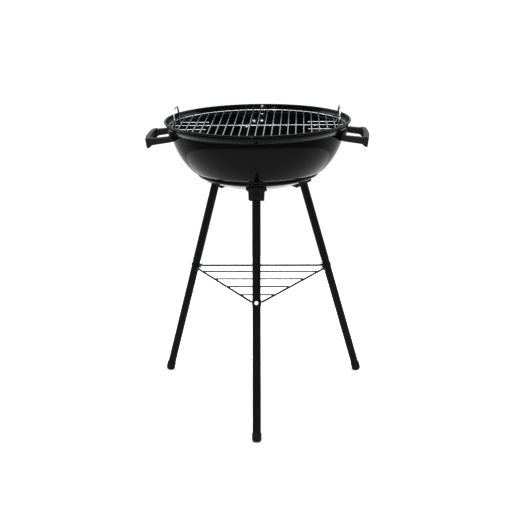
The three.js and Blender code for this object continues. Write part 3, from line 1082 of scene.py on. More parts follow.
@dataclass
class Bowl:
    """The pressed and enamelled bowl with its vent and bolt holes."""

    steps: int = 144
    wall_height: float = 0.64

    def cutters(self) -> list[bpy.types.Object]:
        """Makes the cutters for the rivet, the vent and the bolts.

        Returns:
            The cutters.
        """
        middle = Matrix.Translation((0, 0, SHAPE.dish_height))
        made = [drill(M6.hole, THROUGH_ALL, middle)]
        for place in vent_hole_places(SHAPE.dish_height):
            made.append(drill(VENT_HOLE, THROUGH_ALL, place))
        made += [drill(M6.hole, THROUGH, socket_bolt_place(leg.value)) for leg in Leg]
        for side in Side:
            for turn in HANDLE_SCREW_TURNS:
                made.append(drill(M5.hole, THROUGH, handle_screw_place(side.value + turn)))
        return made

    def build(self) -> None:
        """Spins the sheet, gives it its thickness, curls its rim and drills it."""
        piece = turned("enamelled_bowl", SHAPE.with_curl(), self.steps)
        wall = min(piece.data.polygons, key=lambda face: abs(face.center.z - self.wall_height))
        if wall.normal.dot(Vector((wall.center.x, wall.center.y, 0))) < 0:
            with editing(piece, Kind.FACE):
                bpy.ops.mesh.select_all(action="SELECT")
                bpy.ops.mesh.flip_normals()
        modify(
            piece,
            "SOLIDIFY",
            thickness=SHAPE.sheet,
            offset=-1,
            use_even_offset=True,
            use_quality_normals=True,
        )
        combine(piece, joined("cutters", self.cutters()), "DIFFERENCE")
        smooth(piece)
        settle(piece, TO_AXIS)
        dress(piece, ENAMEL, Slot.ENAMEL, Body.STAND, "bowl")


@dataclass
class Vent:
    """The turning damper under the bowl and the rivet that holds it.

    The tab's fold is measured in thicknesses of the sheet. Its inner corner is cut back
    by shares of the sheet and the fold, and its outer corner by a share of the fold.
    """

    radius: float = 0.042
    sheet: float = 0.0012
    tab_reach: float = 0.074
    tab_width: float = 0.016
    tab_drop: float = 0.012
    rivet: float = 0.003
    rivet_head: float = 0.0065
    rivet_rise: float = 0.002
    rivet_sides: int = 40
    dome_steps: int = 6
    tab_root: float = 0.004
    fold: float = 1.6
    fold_inner: tuple[float, float] = (0.4, 0.6)
    fold_outer: float = 0.35
    edge: float = 0.00025

    def damper(self) -> None:
        """Cuts the damper and its holes, and folds its tab down."""
        top = SHAPE.dish(SHAPE.panel_radius) - GAP
        middle = top - self.sheet / 2
        bpy.ops.mesh.primitive_cylinder_add(
            vertices=ROUND_STEPS, radius=self.radius, depth=self.sheet, location=(0, 0, middle)
        )
        piece = settle(named("vent_damper_plate"), Matrix.Translation((0, 0, middle)))
        side, fold, under = -self.tab_width / 2, self.sheet * self.fold, top - self.sheet
        start, reach, inside = self.radius - self.tab_root, self.tab_reach, self.tab_reach - self.sheet
        back, drop = self.sheet * self.fold_inner[0], fold * self.fold_inner[1]
        cut, low = fold * self.fold_outer, top - self.tab_drop
        outline = [
            Vector((side, start, top)),
            Vector((side, start, under)),
            Vector((side, reach - fold - back, under)),
            Vector((side, inside, under - drop)),
            Vector((side, inside, low)),
            Vector((side, reach, low)),
            Vector((side, reach, top - fold)),
            Vector((side, reach - cut, top - cut)),
            Vector((side, reach - fold, top)),
        ]
        tab = prism("tab", outline, [Vector((self.tab_width, 0, 0))])
        combine(piece, tab, "UNION")
        holes = [drill(self.rivet + GAP, THROUGH, Matrix.Translation((0, 0, middle)))]
        holes += [drill(VENT_HOLE, THROUGH, place) for place in vent_hole_places(middle)]
        combine(piece, joined("cutters", holes), "DIFFERENCE")
        soften(piece, self.edge, 2)
        smooth(piece)
        settle(piece, TO_AXIS)
        dress(piece, POWDER_COAT, Slot.TUBE, Body.DAMPER, "vent_damper")

    def pin(self) -> None:
        """Turns the rivet with a domed head at each end."""
        seat = SHAPE.dish(SHAPE.panel_radius)
        under, over = seat - 2 * GAP - self.sheet, seat + SHAPE.sheet + GAP
        dome = []
        for i in range(self.dome_steps + 1):
            angle = QUARTER * i / self.dome_steps
            across = self.rivet_head * math.sin(angle)
            dome.append((across, self.rivet_rise * math.cos(angle)))
        profile = [(radius, under - rise) for radius, rise in dome]
        profile += [(self.rivet, under), (self.rivet, over)]
        profile += [(radius, over + rise) for radius, rise in reversed(dome)]
        piece = turned("vent_rivet_pin", profile, self.rivet_sides)
        smooth(piece)
        settle(piece, TO_AXIS)
        dress(piece, ZINC, Slot.ZINC, Body.STAND, "vent_rivet")

    def build(self) -> None:
        """Makes the damper and its rivet."""
        self.damper()
        self.pin()


# The grates


@dataclass
class WireGrate:
    """A round grate of parallel wires welded into a ring, with a wire across below.

    A weld's length, width and height, and how far it lies under a bar's middle, are in
    radii of the bar. Its inset is in radii of the ring's wire.
    """

    name: str
    node: str
    body: Body
    ring: float
    ring_height: float
    ring_wire: float
    bar_wire: float
    bar_height: float
    pitch: float
    bars_each_side: int
    cross_wire: float
    cross_height: float
    cross_half: float
    weld: tuple[float, float, float] = (2.6, 2, 1.5)
    weld_drop: float = 0.4
    weld_inset: float = 0.8

    def bars(self) -> list[bpy.types.Object]:
        """Draws the longest bar, and copies it with each copy's ends moved in.

        Returns:
            The bars.
        """
        whole = self.half_length(0)
        start, end = Vector((0, -whole, self.bar_height)), Vector((0, whole, self.bar_height))
        first = wire_between("bar", start, end, self.bar_wire)
        made = []
        for i in range(-self.bars_each_side, self.bars_each_side + 1):
            bar = copied(first, "bar")
            shorter = whole - self.half_length(i)
            with editing(bar, Kind.VERT):
                for sign in (-1, 1):
                    pick(bar, Kind.VERT, lambda at, s=sign: at.y * s > 0)
                    bpy.ops.transform.translate(value=(0, -sign * shorter, 0))
            made.append(settle(bar, Matrix.Translation((i * self.pitch, 0, 0))))
        bpy.data.objects.remove(first)
        return made

    def half_length(self, index: int) -> float:
        """Gives half the length of a bar by its place from the middle."""
        return math.sqrt(self.ring**2 - (index * self.pitch) ** 2)

    def welds(self) -> list[bpy.types.Object]:
        """Makes the weld beads where the bars meet the ring and the cross wire.

        Returns:
            The beads.
        """
        made = []
        long, wide, high = (share * self.bar_wire for share in self.weld)
        contact = (self.bar_height - self.bar_wire + self.cross_height + self.cross_wire) / 2
        for i in range(-self.bars_each_side, self.bars_each_side + 1):
            x = i * self.pitch
            made.append(weld_spot(Vector((x, 0, contact)), long, long, self.bar_wire))
            for sign in (-1, 1):
                end = self.half_length(i) - self.ring_wire * self.weld_inset
                under = self.bar_height - self.bar_wire * self.weld_drop
                made.append(weld_spot(Vector((x, sign * end, under)), long, wide, high))
        return made

    def build(self) -> None:
        """Makes the ring, the bars, the cross wire and the welds, as one welded piece."""
        cross_end = Vector((self.cross_half, 0, self.cross_height))
        cross_start = Vector((-self.cross_half, 0, self.cross_height))
        parts = [
            wire_ring("ring", self.ring, self.ring_height, self.ring_wire),
            wire_between("cross", cross_start, cross_end, self.cross_wire),
        ]
        piece = joined(self.name, parts + self.bars() + self.welds())
        smooth(piece, WIRE_EDGE)
        settle(piece, TO_AXIS)
        dress(piece, CHROME, Slot.CHROME, self.body, self.node)


@dataclass
class LiftingLoop:
    """A loop of bent wire that stands up from the cooking grate."""

    wire: float = 0.0018
    tail_height: float = 0.67635
    tail_start: float = 0.118
    upright: float = 0.1885
    top_reach: float = 0.1925
    top: float = 0.7199
    half_width: float = 0.048
    foot_bend: float = 0.005
    corner: float = 0.026
    sides: int = 14
    foot_steps: int = 8
    corner_steps: int = 14

    def build(self) -> None:
        """Bends one loop for the right, and turns a copy of it round to the left."""
        rise = self.top - self.tail_height - self.foot_bend
        lean = math.atan((self.top_reach - self.upright) / rise)
        up = Vector((math.sin(lean), 0, math.cos(lean)))
        out, across = Vector((1, 0, 0)), Vector((0, 1, 0))
        tail = Vector((self.tail_start, -self.half_width, self.tail_height))
        drawn = Wire(self.wire, self.sides)
        straight = self.upright - self.foot_bend - self.tail_start - drawn.end_length()
        upward = QUARTER - lean
        drawn.start("grate_lifting_loop_right", tail, out)
        drawn.straight(straight).bend(Vector((0, 0, 1)), self.foot_bend, upward, self.foot_steps)
        stem = (self.top - drawn.tip.z) / math.cos(lean) - self.corner
        drawn.straight(stem).bend(across, self.corner, QUARTER, self.corner_steps)
        drawn.straight(2 * (self.half_width - self.corner))
        drawn.bend(-up, self.corner, QUARTER, self.corner_steps).straight(stem)
        drawn.bend(up.cross(across), self.foot_bend, upward, self.foot_steps)
        first = drawn.straight(straight).end()
        smooth(first, WIRE_EDGE)
        other = copied(first, "grate_lifting_loop_left")
        for piece, side in ((first, Side.RIGHT), (other, Side.LEFT)):
            settle(piece, TO_AXIS @ Matrix.Rotation(side.value, 4, "Z"))
            node = f"grate_loop_{side.name.lower()}"
            dress(piece, CHROME, Slot.CHROME, Body.COOKING_GRATE, node)


# The handles


@dataclass
class Handle:
    """A moulded handle: a curved base plate, two arms and an angled grip.

    The grip's section is drawn inward and down from its top outer edge. The arm's
    underside and end are given by how far each corner lies back from the end.
    """

    reach: float = 0.2615
    bow: float = 0.004
    half_width: float = 0.066
    arm_thickness: float = 0.010
    top: float = 0.6592
    lean: float = math.radians(8)
    plate_thickness: float = 0.006
    plate_half_width: float = 0.067
    plate_low: float = 0.652
    plate_high: float = 0.669
    plate_rows: int = 6
    plate_steps: int = 30
    plate_round: float = 0.0014
    arm_start: float = 0.197
    arm_back: float = 0.0025
    arm_root: tuple[float, float] = (0.6645, 0.6512)
    arm_end: tuple[tuple[float, float], ...] = (
        (0.013, 0.6444),
        (0.0055, 0.6378),
        (0.0025, 0.6378),
        (0.0, 0.6588),
    )
    arm_round: float = 0.0012
    grip_section: tuple[tuple[float, float], ...] = (
        (0, 0),
        (-0.012, 0),
        (-0.012, -0.009),
        (-0.004, -0.009),
        (-0.004, -0.0215),
        (-0.0028, -0.023),
        (0, -0.023),
    )
    grip_steps: int = 16
    grip_round: float = 0.0011

    def grip(self) -> bpy.types.Object:
        """Extrudes the grip's angled section along a slight outward bow.

        Returns:
            The grip.
        """
        steps = self.grip_steps
        places = [-self.half_width + 2 * self.half_width * i / steps for i in range(steps + 1)]
        bows = [-self.bow * (y / self.half_width) ** 2 for y in places]
        outline = [Vector((x + bows[0], places[0], z)) for x, z in self.grip_section]
        strides = [
            Vector((bows[i + 1] - bows[i], places[i + 1] - places[i], 0)) for i in range(steps)
        ]
        piece = prism("grip", outline, strides)
        soften(piece, self.grip_round)
        lean = Matrix.Rotation(self.lean, 4, "Y")
        return settle(piece, Matrix.Translation((self.reach, 0, self.top)) @ lean)

    def arm(self, middle: float) -> bpy.types.Object:
        """Makes one arm between the plate and the grip.

        Args:
            middle: The Y of the arm's middle.

        Returns:
            The arm.
        """
        end = self.reach - self.bow - self.arm_back
        side = middle - self.arm_thickness / 2
        outline = [(self.arm_start, height) for height in self.arm_root]
        outline += [(end - back, height) for back, height in self.arm_end]
        corners = [Vector((x, side, z)) for x, z in outline]
        piece = prism("arm", corners, [Vector((0, self.arm_thickness, 0))])
        soften(piece, self.arm_round)
        return piece

    def plate(self) -> bpy.types.Object:
        """Spins the base plate's section along the bowl's wall.

        Returns:
            The plate.
        """
        inside, outside = [], []
        for i in range(self.plate_rows + 1):
            height = self.plate_low + (self.plate_high - self.plate_low) * i / self.plate_rows
            inside.append((SHAPE.body(height) + GAP, height))
            outside.append((SHAPE.body(height) + self.plate_thickness, height))
        spread = math.asin(self.plate_half_width / outside[self.plate_rows // 2][0])
        profile = inside + outside[::-1]
        piece = turned("plate", profile, self.plate_steps, -spread, 2 * spread)
        soften(piece, self.plate_round)
        return piece

    def build(self) -> None:
        """Moulds the right handle, drills it and turns a copy round to the left."""
        first = self.plate()
        for sign in (-1, 1):
            middle = sign * (self.half_width - self.arm_thickness / 2)
            combine(first, self.arm(middle), "UNION")
        combine(first, self.grip(), "UNION")
        holes = [
            drill(M5.hole, THROUGH_TUBE, handle_screw_place(turn))
            for turn in HANDLE_SCREW_TURNS
        ]
        combine(first, joined("cutters", holes), "DIFFERENCE")
        smooth(first)
        first.name = "moulded_handle_right"
        other = copied(first, "moulded_handle_left")
        for piece, side in ((first, Side.RIGHT), (other, Side.LEFT)):
            settle(piece, TO_AXIS @ Matrix.Rotation(side.value, 4, "Z"))
            node = f"handle_{side.name.lower()}"
            dress(piece, PHENOLIC, Slot.PLASTIC, Body.STAND, node)


# Fasteners


@dataclass(frozen=True)
class Thread:
    """The sizes of a screw, its nut and its hole: radii, and the heights of head and nut."""

    shank: float
    head: float
    head_height: float
    nut: float
    nut_height: float
    hole: float


M6 = Thread(
    shank=0.0029, head=0.006, head_height=0.0032, nut=0.0056, nut_height=0.0045, hole=0.0033
)
M5 = Thread(
    shank=0.0024, head=0.0049, head_height=0.0028, nut=0.0046, nut_height=0.0038, hole=0.0028
)


@dataclass
class Fasteners:
    """Pan-head screws with a cross recess, and hexagon nuts.

    The widths of the seat, the crown and the recess are shares of the head's radius, the
    crown's base of its height, and the point's width of the shank's radius. The other
    sizes are lengths.
    """

    socket_bolt: float = 0.036
    handle_screw: float = 0.014
    leg_screw: float = 0.009
    shelf_screw: float = 0.029
    point_width: float = 0.7
    point_length: float = 0.0008
    seat_width: float = 0.96
    seat_height: float = 0.0003
    crown_width: float = 0.45
    crown_base: float = 0.42
    dome_steps: int = 8
    recess: tuple[float, float] = (1.05, 0.2)
    recess_depth: float = 0.0034
    chamfer: float = 0.0004
    lug_thickness: float = 0.002
    made: dict[str, bpy.types.Object] = field(default_factory=dict)

    def screw(self, thread: Thread, length: float) -> bpy.types.Object:
        """Turns a screw with its bearing face at the origin and its head up.

        Args:
            thread: The screw's sizes.
            length: The length of its shank.

        Returns:
            A pattern to copy.
        """
        key = f"screw_{thread.shank}_{length}"
        if key in self.made:
            return self.made[key]
        profile = [(0, -length), (thread.shank * self.point_width, -length)]
        profile += [(thread.shank, -length + self.point_length), (thread.shank, 0)]
        profile += [(thread.head * self.seat_width, 0), (thread.head, self.seat_height)]
        for i in range(self.dome_steps + 1):
            angle = QUARTER * i / self.dome_steps
            across = self.crown_width + (1 - self.crown_width) * math.cos(angle)
            rise = self.crown_base + (1 - self.crown_base) * math.sin(angle)
            profile.append((thread.head * across, thread.head_height * rise))
        profile.append((0, thread.head_height))
        piece = turned(key, profile, DRILL_SIDES)
        slots = []
        for turn in (0, QUARTER):
            bpy.ops.mesh.primitive_cube_add(size=1)
            long, wide = (thread.head * share for share in self.recess)
            size = Matrix.Diagonal((long, wide, self.recess_depth, 1))
            lift = Matrix.Translation((0, 0, thread.head_height))
            slots.append(settle(named("slot"), lift @ Matrix.Rotation(turn, 4, "Z") @ size))
        for cutter in slots:
            combine(piece, cutter, "DIFFERENCE")
        smooth(piece)
        self.made[key] = piece
        return piece

    def nut(self, thread: Thread) -> bpy.types.Object:
        """Makes a hexagon nut that stands on the origin, with its corners chamfered.

        Args:
            thread: The nut's sizes.

        Returns:
            A pattern to copy.
        """
        key = f"nut_{thread.shank}"
        if key in self.made:
            return self.made[key]
        middle = thread.nut_height / 2
        bpy.ops.mesh.primitive_cylinder_add(
            vertices=6, radius=thread.nut, depth=thread.nut_height
        )
        piece = settle(
            named(key),
            Matrix.Translation((0, 0, middle)) @ Matrix.Rotation(QUARTER, 4, "Z"),
        )
        soften(piece, self.chamfer)
        bore = drill(thread.shank + GAP, THROUGH, Matrix.Translation((0, 0, middle)))
        combine(piece, bore, "DIFFERENCE")
        smooth(piece)
        self.made[key] = piece
        return piece

    def fit(
        self,
        pattern: bpy.types.Object,
        name: str,
        place: Matrix,
        along: float,
        node: str,
        finish: Finish = ZINC,
        slot: Slot = Slot.ZINC,
    ) -> None:
        """Copies a fastener to its place.

        Args:
            pattern: The screw or nut to copy.
            name: The name of the copy.
            place: Where it goes, round the bowl's axis.
            along: How far it is moved along the place's Z.
            node: The CAD node that it stands for.
            finish: Its surface.
            slot: The record's slot for that surface.
        """
        piece = copied(pattern, name)
        settle(piece, TO_AXIS @ place @ Matrix.Translation((0, 0, along)))
        dress(piece, finish, slot, Body.STAND, node)

    def handle_set(self, plate_thickness: float = 0.006) -> None:
        """Screws both handles to the bowl from inside.

        Args:
            plate_thickness: The thickness of a handle's plate.
        """
        back = -plate_thickness - 2 * GAP - M5.nut_height
        for side in Side:
            sign = 1 if side is Side.RIGHT else -1
            for end, turn in (("front", -sign), ("back", sign)):
                place = handle_screw_place(side.value + turn * HANDLE_SCREW_TURN)
                tag = f"{side.name.lower()}_{end}"
                head = SHAPE.sheet + 2 * GAP
                screw, nut = self.screw(M5, self.handle_screw), self.nut(M5)
                self.fit(screw, f"pan_screw_handle_{tag}", place, head, f"handle_screw_{tag}")
                self.fit(nut, f"hex_nut_handle_{tag}", place, back, f"handle_nut_{tag}")

    def leg_set(self, legs: "Legs") -> None:
        """Screws the sockets to the dish, the tubes to the sockets and the shelf to the tubes.

        Args:
            legs: The legs that the fasteners hold.
        """
        for leg in Leg:
            tag = leg.name.lower()
            dish = socket_bolt_place(leg.value)
            head = SHAPE.sheet + 2 * GAP
            back = -legs.bolt_grip - GAP - M6.nut_height
            bolt = self.screw(M6, self.socket_bolt)
            self.fit(bolt, f"socket_screw_{tag}", dish, head, f"socket_bolt_{tag}")
            self.fit(self.nut(M6), f"hex_nut_socket_{tag}", dish, back, f"socket_nut_{tag}")
            tube = legs.place(leg)
            boss_face = legs.socket_outer + legs.boss_thickness + GAP
            at = Matrix.Translation((boss_face, 0, legs.leg_screw_station)) @ SIDEWAYS
            boss = self.screw(M5, self.leg_screw)
            self.fit(
                boss,
                f"pan_screw_leg_{tag}",
                tube @ at,
                0,
                f"leg_screw_{tag}",
                POWDER_COAT,
                Slot.TUBE,
            )
            at = Matrix.Translation((legs.tube + GAP, 0, legs.shelf_station)) @ SIDEWAYS
            shelf = self.screw(M5, self.shelf_screw)
            self.fit(shelf, f"pan_screw_shelf_{tag}", tube @ at, 0, f"shelf_screw_{tag}")
            lug_face = -legs.tube - self.lug_thickness - 2 * GAP
            inner = Matrix.Translation((lug_face, 0, legs.shelf_station))
            turned_in = inner @ Matrix.Rotation(-QUARTER, 4, "Y")
            self.fit(self.nut(M5), f"hex_nut_shelf_{tag}", tube @ turned_in, 0, f"shelf_nut_{tag}")

    def clear(self) -> None:
        """Removes the patterns once all the copies are made."""
        for piece in self.made.values():
            bpy.data.objects.remove(piece)
        self.made.clear()


# The legs


@dataclass
class Legs:
    """Three splayed tubes, each with a foot cap and a moulded socket under the bowl."""

    reach: float = 0.2856
    splay: float = math.radians(17.15)
    tube: float = 0.0095
    wall: float = 0.001
    tube_low: float = 0.0052
    tube_high: float = 0.572
    foot: float = 0.0109
    foot_base: float = 0.0011
    foot_high: float = 0.020
    foot_round: float = 0.004
    foot_sole: float = 0.0035
    socket_low: float = 0.551
    socket_flange: float = 0.573
    socket_outer: float = 0.015
    socket_inner: float = -0.029
    boss_thickness: float = 0.0015
    leg_screw_station: float = 0.563
    shelf_station: float = 0.3169
    bolt_grip: float = 0.027
    sides: int = 48
    lip: float = 0.0003
    foot_lip: tuple[float, float] = (0.0004, 0.0006)
    foot_steps: int = 8
    block_low: float = 0.017
    block_high: float = 0.018
    wing: float = 0.023
    wing_step: float = 0.001
    wing_height: float = 0.020
    socket_round: float = 0.001
    bore_depth: float = 0.06
    boss_radius: float = 0.010
    boss_depth: float = 0.0025
    boss_oval: float = 0.7
    boss_round: float = 0.0006

    def place(self, leg: Leg) -> Matrix:
        """Gives a leg's own frame: Z up the tube and X outward, from the floor."""
        return (
            Matrix.Rotation(leg.value, 4, "Z")
            @ Matrix.Translation((self.reach, 0, 0))
            @ Matrix.Rotation(-self.splay, 4, "Y")
        )

    def tube_piece(self) -> bpy.types.Object:
        """Turns the tube with bevelled lips and drills it for its screws.

        Returns:
            A pattern to copy.
        """
        bore, edge = self.tube - self.wall, self.lip
        profile = [
            (bore, self.tube_low + edge),
            (bore + edge, self.tube_low),
            (self.tube - edge, self.tube_low),
            (self.tube, self.tube_low + edge),
            (self.tube, self.tube_high - edge),
            (self.tube - edge, self.tube_high),
            (bore + edge, self.tube_high),
            (bore, self.tube_high - edge),
            (bore, self.tube_low + edge),
        ]
        piece = turned("leg_tube", profile, self.sides)
        shelf = Matrix.Translation((0, 0, self.shelf_station)) @ SIDEWAYS
        screw = Matrix.Translation((THROUGH / 2, 0, self.leg_screw_station)) @ SIDEWAYS
        holes = [drill(M5.hole, THROUGH_TUBE, shelf), drill(M5.hole, THROUGH, screw)]
        combine(piece, joined("cutters", holes), "DIFFERENCE")
        smooth(piece)
        return piece

    def foot_piece(self) -> bpy.types.Object:
        """Turns the foot cap: a rounded base, a plain skirt and a bevel at its mouth.

        Returns:
            A pattern to copy.
        """
        bore, floor = self.tube + GAP, self.foot_base + self.foot_sole
        profile = [(0, self.foot_base)]
        for i in range(self.foot_steps + 1):
            angle = QUARTER * (i / self.foot_steps - 1)
            across = self.foot - self.foot_round + self.foot_round * math.cos(angle)
            rise = self.foot_base + self.foot_round + self.foot_round * math.sin(angle)
            profile.append((across, rise))
        back, down = self.foot_lip
        profile += [(self.foot, self.foot_high - down), (self.foot - back, self.foot_high)]
        profile += [(bore, self.foot_high), (bore, floor), (0, floor)]
        return turned("foot_cap", profile, self.sides)

    def socket_piece(self) -> bpy.types.Object:
        """Moulds the socket: a tapered block with side wings, cut to fit the dish.

        Returns:
            A pattern to copy.
        """
        under, over = self.socket_flange + self.wing_step, self.socket_flange + self.wing_height
        outline = [
            (-self.block_low, self.socket_low),
            (self.block_low, self.socket_low),
            (self.block_high, self.socket_flange),
            (self.wing, under),
            (self.wing, over),
            (-self.wing, over),
            (-self.wing, under),
            (-self.block_high, self.socket_flange),
        ]
        corners = [Vector((self.socket_inner, y, z)) for y, z in outline]
        depth = self.socket_outer - self.socket_inner
        piece = prism("leg_socket", corners, [Vector((depth, 0, 0))])
        soften(piece, self.socket_round)
        combine(piece, self.boss(), "UNION")
        into_leg = self.place(Leg.RIGHT).inverted() @ Matrix.Rotation(Leg.RIGHT.value, 4, "Z")
        combine(piece, settle(SHAPE.filled(), into_leg), "DIFFERENCE")
        bore = Matrix.Translation((0, 0, self.tube_high + GAP - self.bore_depth / 2))
        hole = Matrix.Translation((self.socket_outer, 0, self.leg_screw_station))
        bolt = into_leg @ socket_bolt_place(0) @ Matrix.Translation((0, 0, -THROUGH / 2))
        cutters = [
            drill(self.tube + GAP, self.bore_depth, bore),
            drill(M5.hole, 2 * self.socket_outer, hole @ SIDEWAYS),
            drill(M6.hole, THROUGH_ALL, bolt),
        ]
        for cutter in cutters:
            combine(piece, cutter, "DIFFERENCE")
        smooth(piece)
        return piece

    def boss(self) -> bpy.types.Object:
        """Makes the raised oval pad round the leg screw.

        Returns:
            The pad.
        """
        bpy.ops.mesh.primitive_cylinder_add(
            vertices=self.sides, radius=self.boss_radius, depth=self.boss_depth
        )
        size = Matrix.Diagonal((self.boss_oval, 1, 1, 1))
        turn = SIDEWAYS @ Matrix.Rotation(QUARTER, 4, "Z")
        middle = self.socket_outer + self.boss_thickness - self.boss_depth / 2
        place = Matrix.Translation((middle, 0, self.leg_screw_station))
        piece = settle(named("boss"), place @ turn @ size)
        soften(piece, self.boss_round)
        return piece

    def build(self) -> None:
        """Makes one leg's pieces, and copies them to the three legs."""
        patterns = (self.tube_piece(), self.foot_piece(), self.socket_piece())
        for leg in Leg:
            tag = leg.name.lower()
            place = TO_AXIS @ self.place(leg)
            tube = settle(copied(patterns[0], f"steel_leg_{tag}"), place)
            dress(tube, POWDER_COAT, Slot.TUBE, Body.STAND, f"leg_{tag}")
            foot = settle(copied(patterns[1], f"foot_cap_{tag}"), place)
            self.cut_at_floor(foot)
            dress(foot, POLYPROPYLENE, Slot.PLASTIC, Body.STAND, f"foot_{tag}")
            socket = settle(copied(patterns[2], f"moulded_socket_{tag}"), place)
            dress(socket, POLYPROPYLENE, Slot.PLASTIC, Body.STAND, f"leg_socket_{tag}")
        for pattern in patterns:
            bpy.data.objects.remove(pattern)

    def cut_at_floor(self, foot: bpy.types.Object) -> None:
        """Cuts a foot flat where it stands on the floor.

        Args:
            foot: The foot in its place.
        """
        with editing(foot, Kind.VERT):
            bpy.ops.mesh.select_all(action="SELECT")
            bpy.ops.mesh.bisect(
                plane_co=(0, 0, 0), plane_no=(0, 0, 1), use_fill=True, clear_inner=True
            )
        smooth(foot)


# The slope of a triangle's sides at a corner, and the signs of a rectangle's corners.
CORNER_SLOPE = math.tan(math.radians(30))
CORNERS = ((1, 1), (-1, 1), (-1, -1), (1, -1))


@dataclass
class Shelf:
    """A triangle of wire between the legs, with wires across and a lug at each corner."""

    height: float = 0.301
    inradius: float = 0.101
    wire: float = 0.0022
    cross_wire: float = 0.0016
    cross_count: int = 4
    cross_pitch: float = 0.0595
    first_cross: float = 0.0385
    overhang: float = 0.003
    lug_width: float = 0.0215
    lug_height: float = 0.017
    lug_thickness: float = 0.002
    lug_corner: float = 0.004
    lug_edge: float = 0.0003
    corner_steps: int = 4
    weld: tuple[float, float, float] = (0.006, 0.005, 0.0022)

    def corner_reach(self, legs: Legs) -> float:
        """Gives the distance of a side wire's corner from the bowl's axis.

        Args:
            legs: The legs that the shelf is screwed to.

        Returns:
            The distance, which ends inside the corner's lug.
        """
        lug_plane = legs.tube + GAP + self.lug_thickness / 2 + GAP
        splay = legs.splay
        return legs.reach - lug_plane / math.cos(splay) - self.height * math.tan(splay)

    def frame_wires(self, legs: Legs) -> list[bpy.types.Object]:
        """Draws the three side wires.

        Args:
            legs: The legs that the shelf is screwed to.

        Returns:
            The wires.
        """
        reach = self.corner_reach(legs)
        half = (2 * self.inradius - reach) * CORNER_SLOPE
        made = []
        for leg in Leg:
            start = Matrix.Rotation(leg.value, 3, "Z") @ Vector((reach, half, self.height))
            turn = Matrix.Rotation(leg.value + FULL_TURN / 3, 3, "Z")
            end = turn @ Vector((reach, -half, self.height))
            made.append(wire_between("side", start, end, self.wire))
        return made

    def cross_wires(self) -> list[bpy.types.Object]:
        """Lays the cross wires on the side wires, with a weld at each end.

        Returns:
            The wires and the welds.
        """
        height = self.height + self.wire + self.cross_wire - SINK
        made = []
        for i in range(self.cross_count):
            y = self.first_cross - i * self.cross_pitch
            half = (2 * self.inradius + y) * CORNER_SLOPE + self.overhang
            start, end = Vector((-half, y, height)), Vector((half, y, height))
            made.append(wire_between("cross", start, end, self.cross_wire))
            for sign in (-1, 1):
                at = Vector((sign * (half - self.overhang), y, height - self.cross_wire))
                made.append(weld_spot(at, *self.weld))
        return made

    def lug(self, legs: Legs) -> bpy.types.Object:
        """Makes a corner lug in the leg's frame, with rounded corners and a screw hole.

        Args:
            legs: The legs that the shelf is screwed to.

        Returns:
            A pattern to copy.
        """
        half, rise, corner = self.lug_width / 2, self.lug_height / 2, self.lug_corner
        face = -legs.tube - GAP
        outline = []
        for number, centre in enumerate(CORNERS):
            for i in range(self.corner_steps + 1):
                angle = QUARTER * (number + i / self.corner_steps)
                y = centre[0] * (half - corner) + corner * math.cos(angle)
                z = centre[1] * (rise - corner) + corner * math.sin(angle)
                outline.append(Vector((face, y, legs.shelf_station + z)))
        piece = prism("lug", outline, [Vector((-self.lug_thickness, 0, 0))])
        hole = Matrix.Translation((face, 0, legs.shelf_station)) @ SIDEWAYS
        combine(piece, drill(M5.hole, THROUGH, hole), "DIFFERENCE")
        soften(piece, self.lug_edge, 2)
        return piece

    def build(self, legs: Legs) -> None:
        """Welds the wires and lugs into one painted shelf.

        Args:
            legs: The legs that the shelf is screwed to.
        """
        parts = self.frame_wires(legs) + self.cross_wires()
        first = self.lug(legs)
        for leg in Leg:
            parts.append(settle(copied(first, "lug"), legs.place(leg)))
        bpy.data.objects.remove(first)
        piece = joined("wire_shelf", parts)
        smooth(piece, WIRE_EDGE)
        settle(piece, TO_AXIS)
        dress(piece, WIRE_PAINT, Slot.WIRE_PAINT, Body.STAND, "shelf")


# The studio


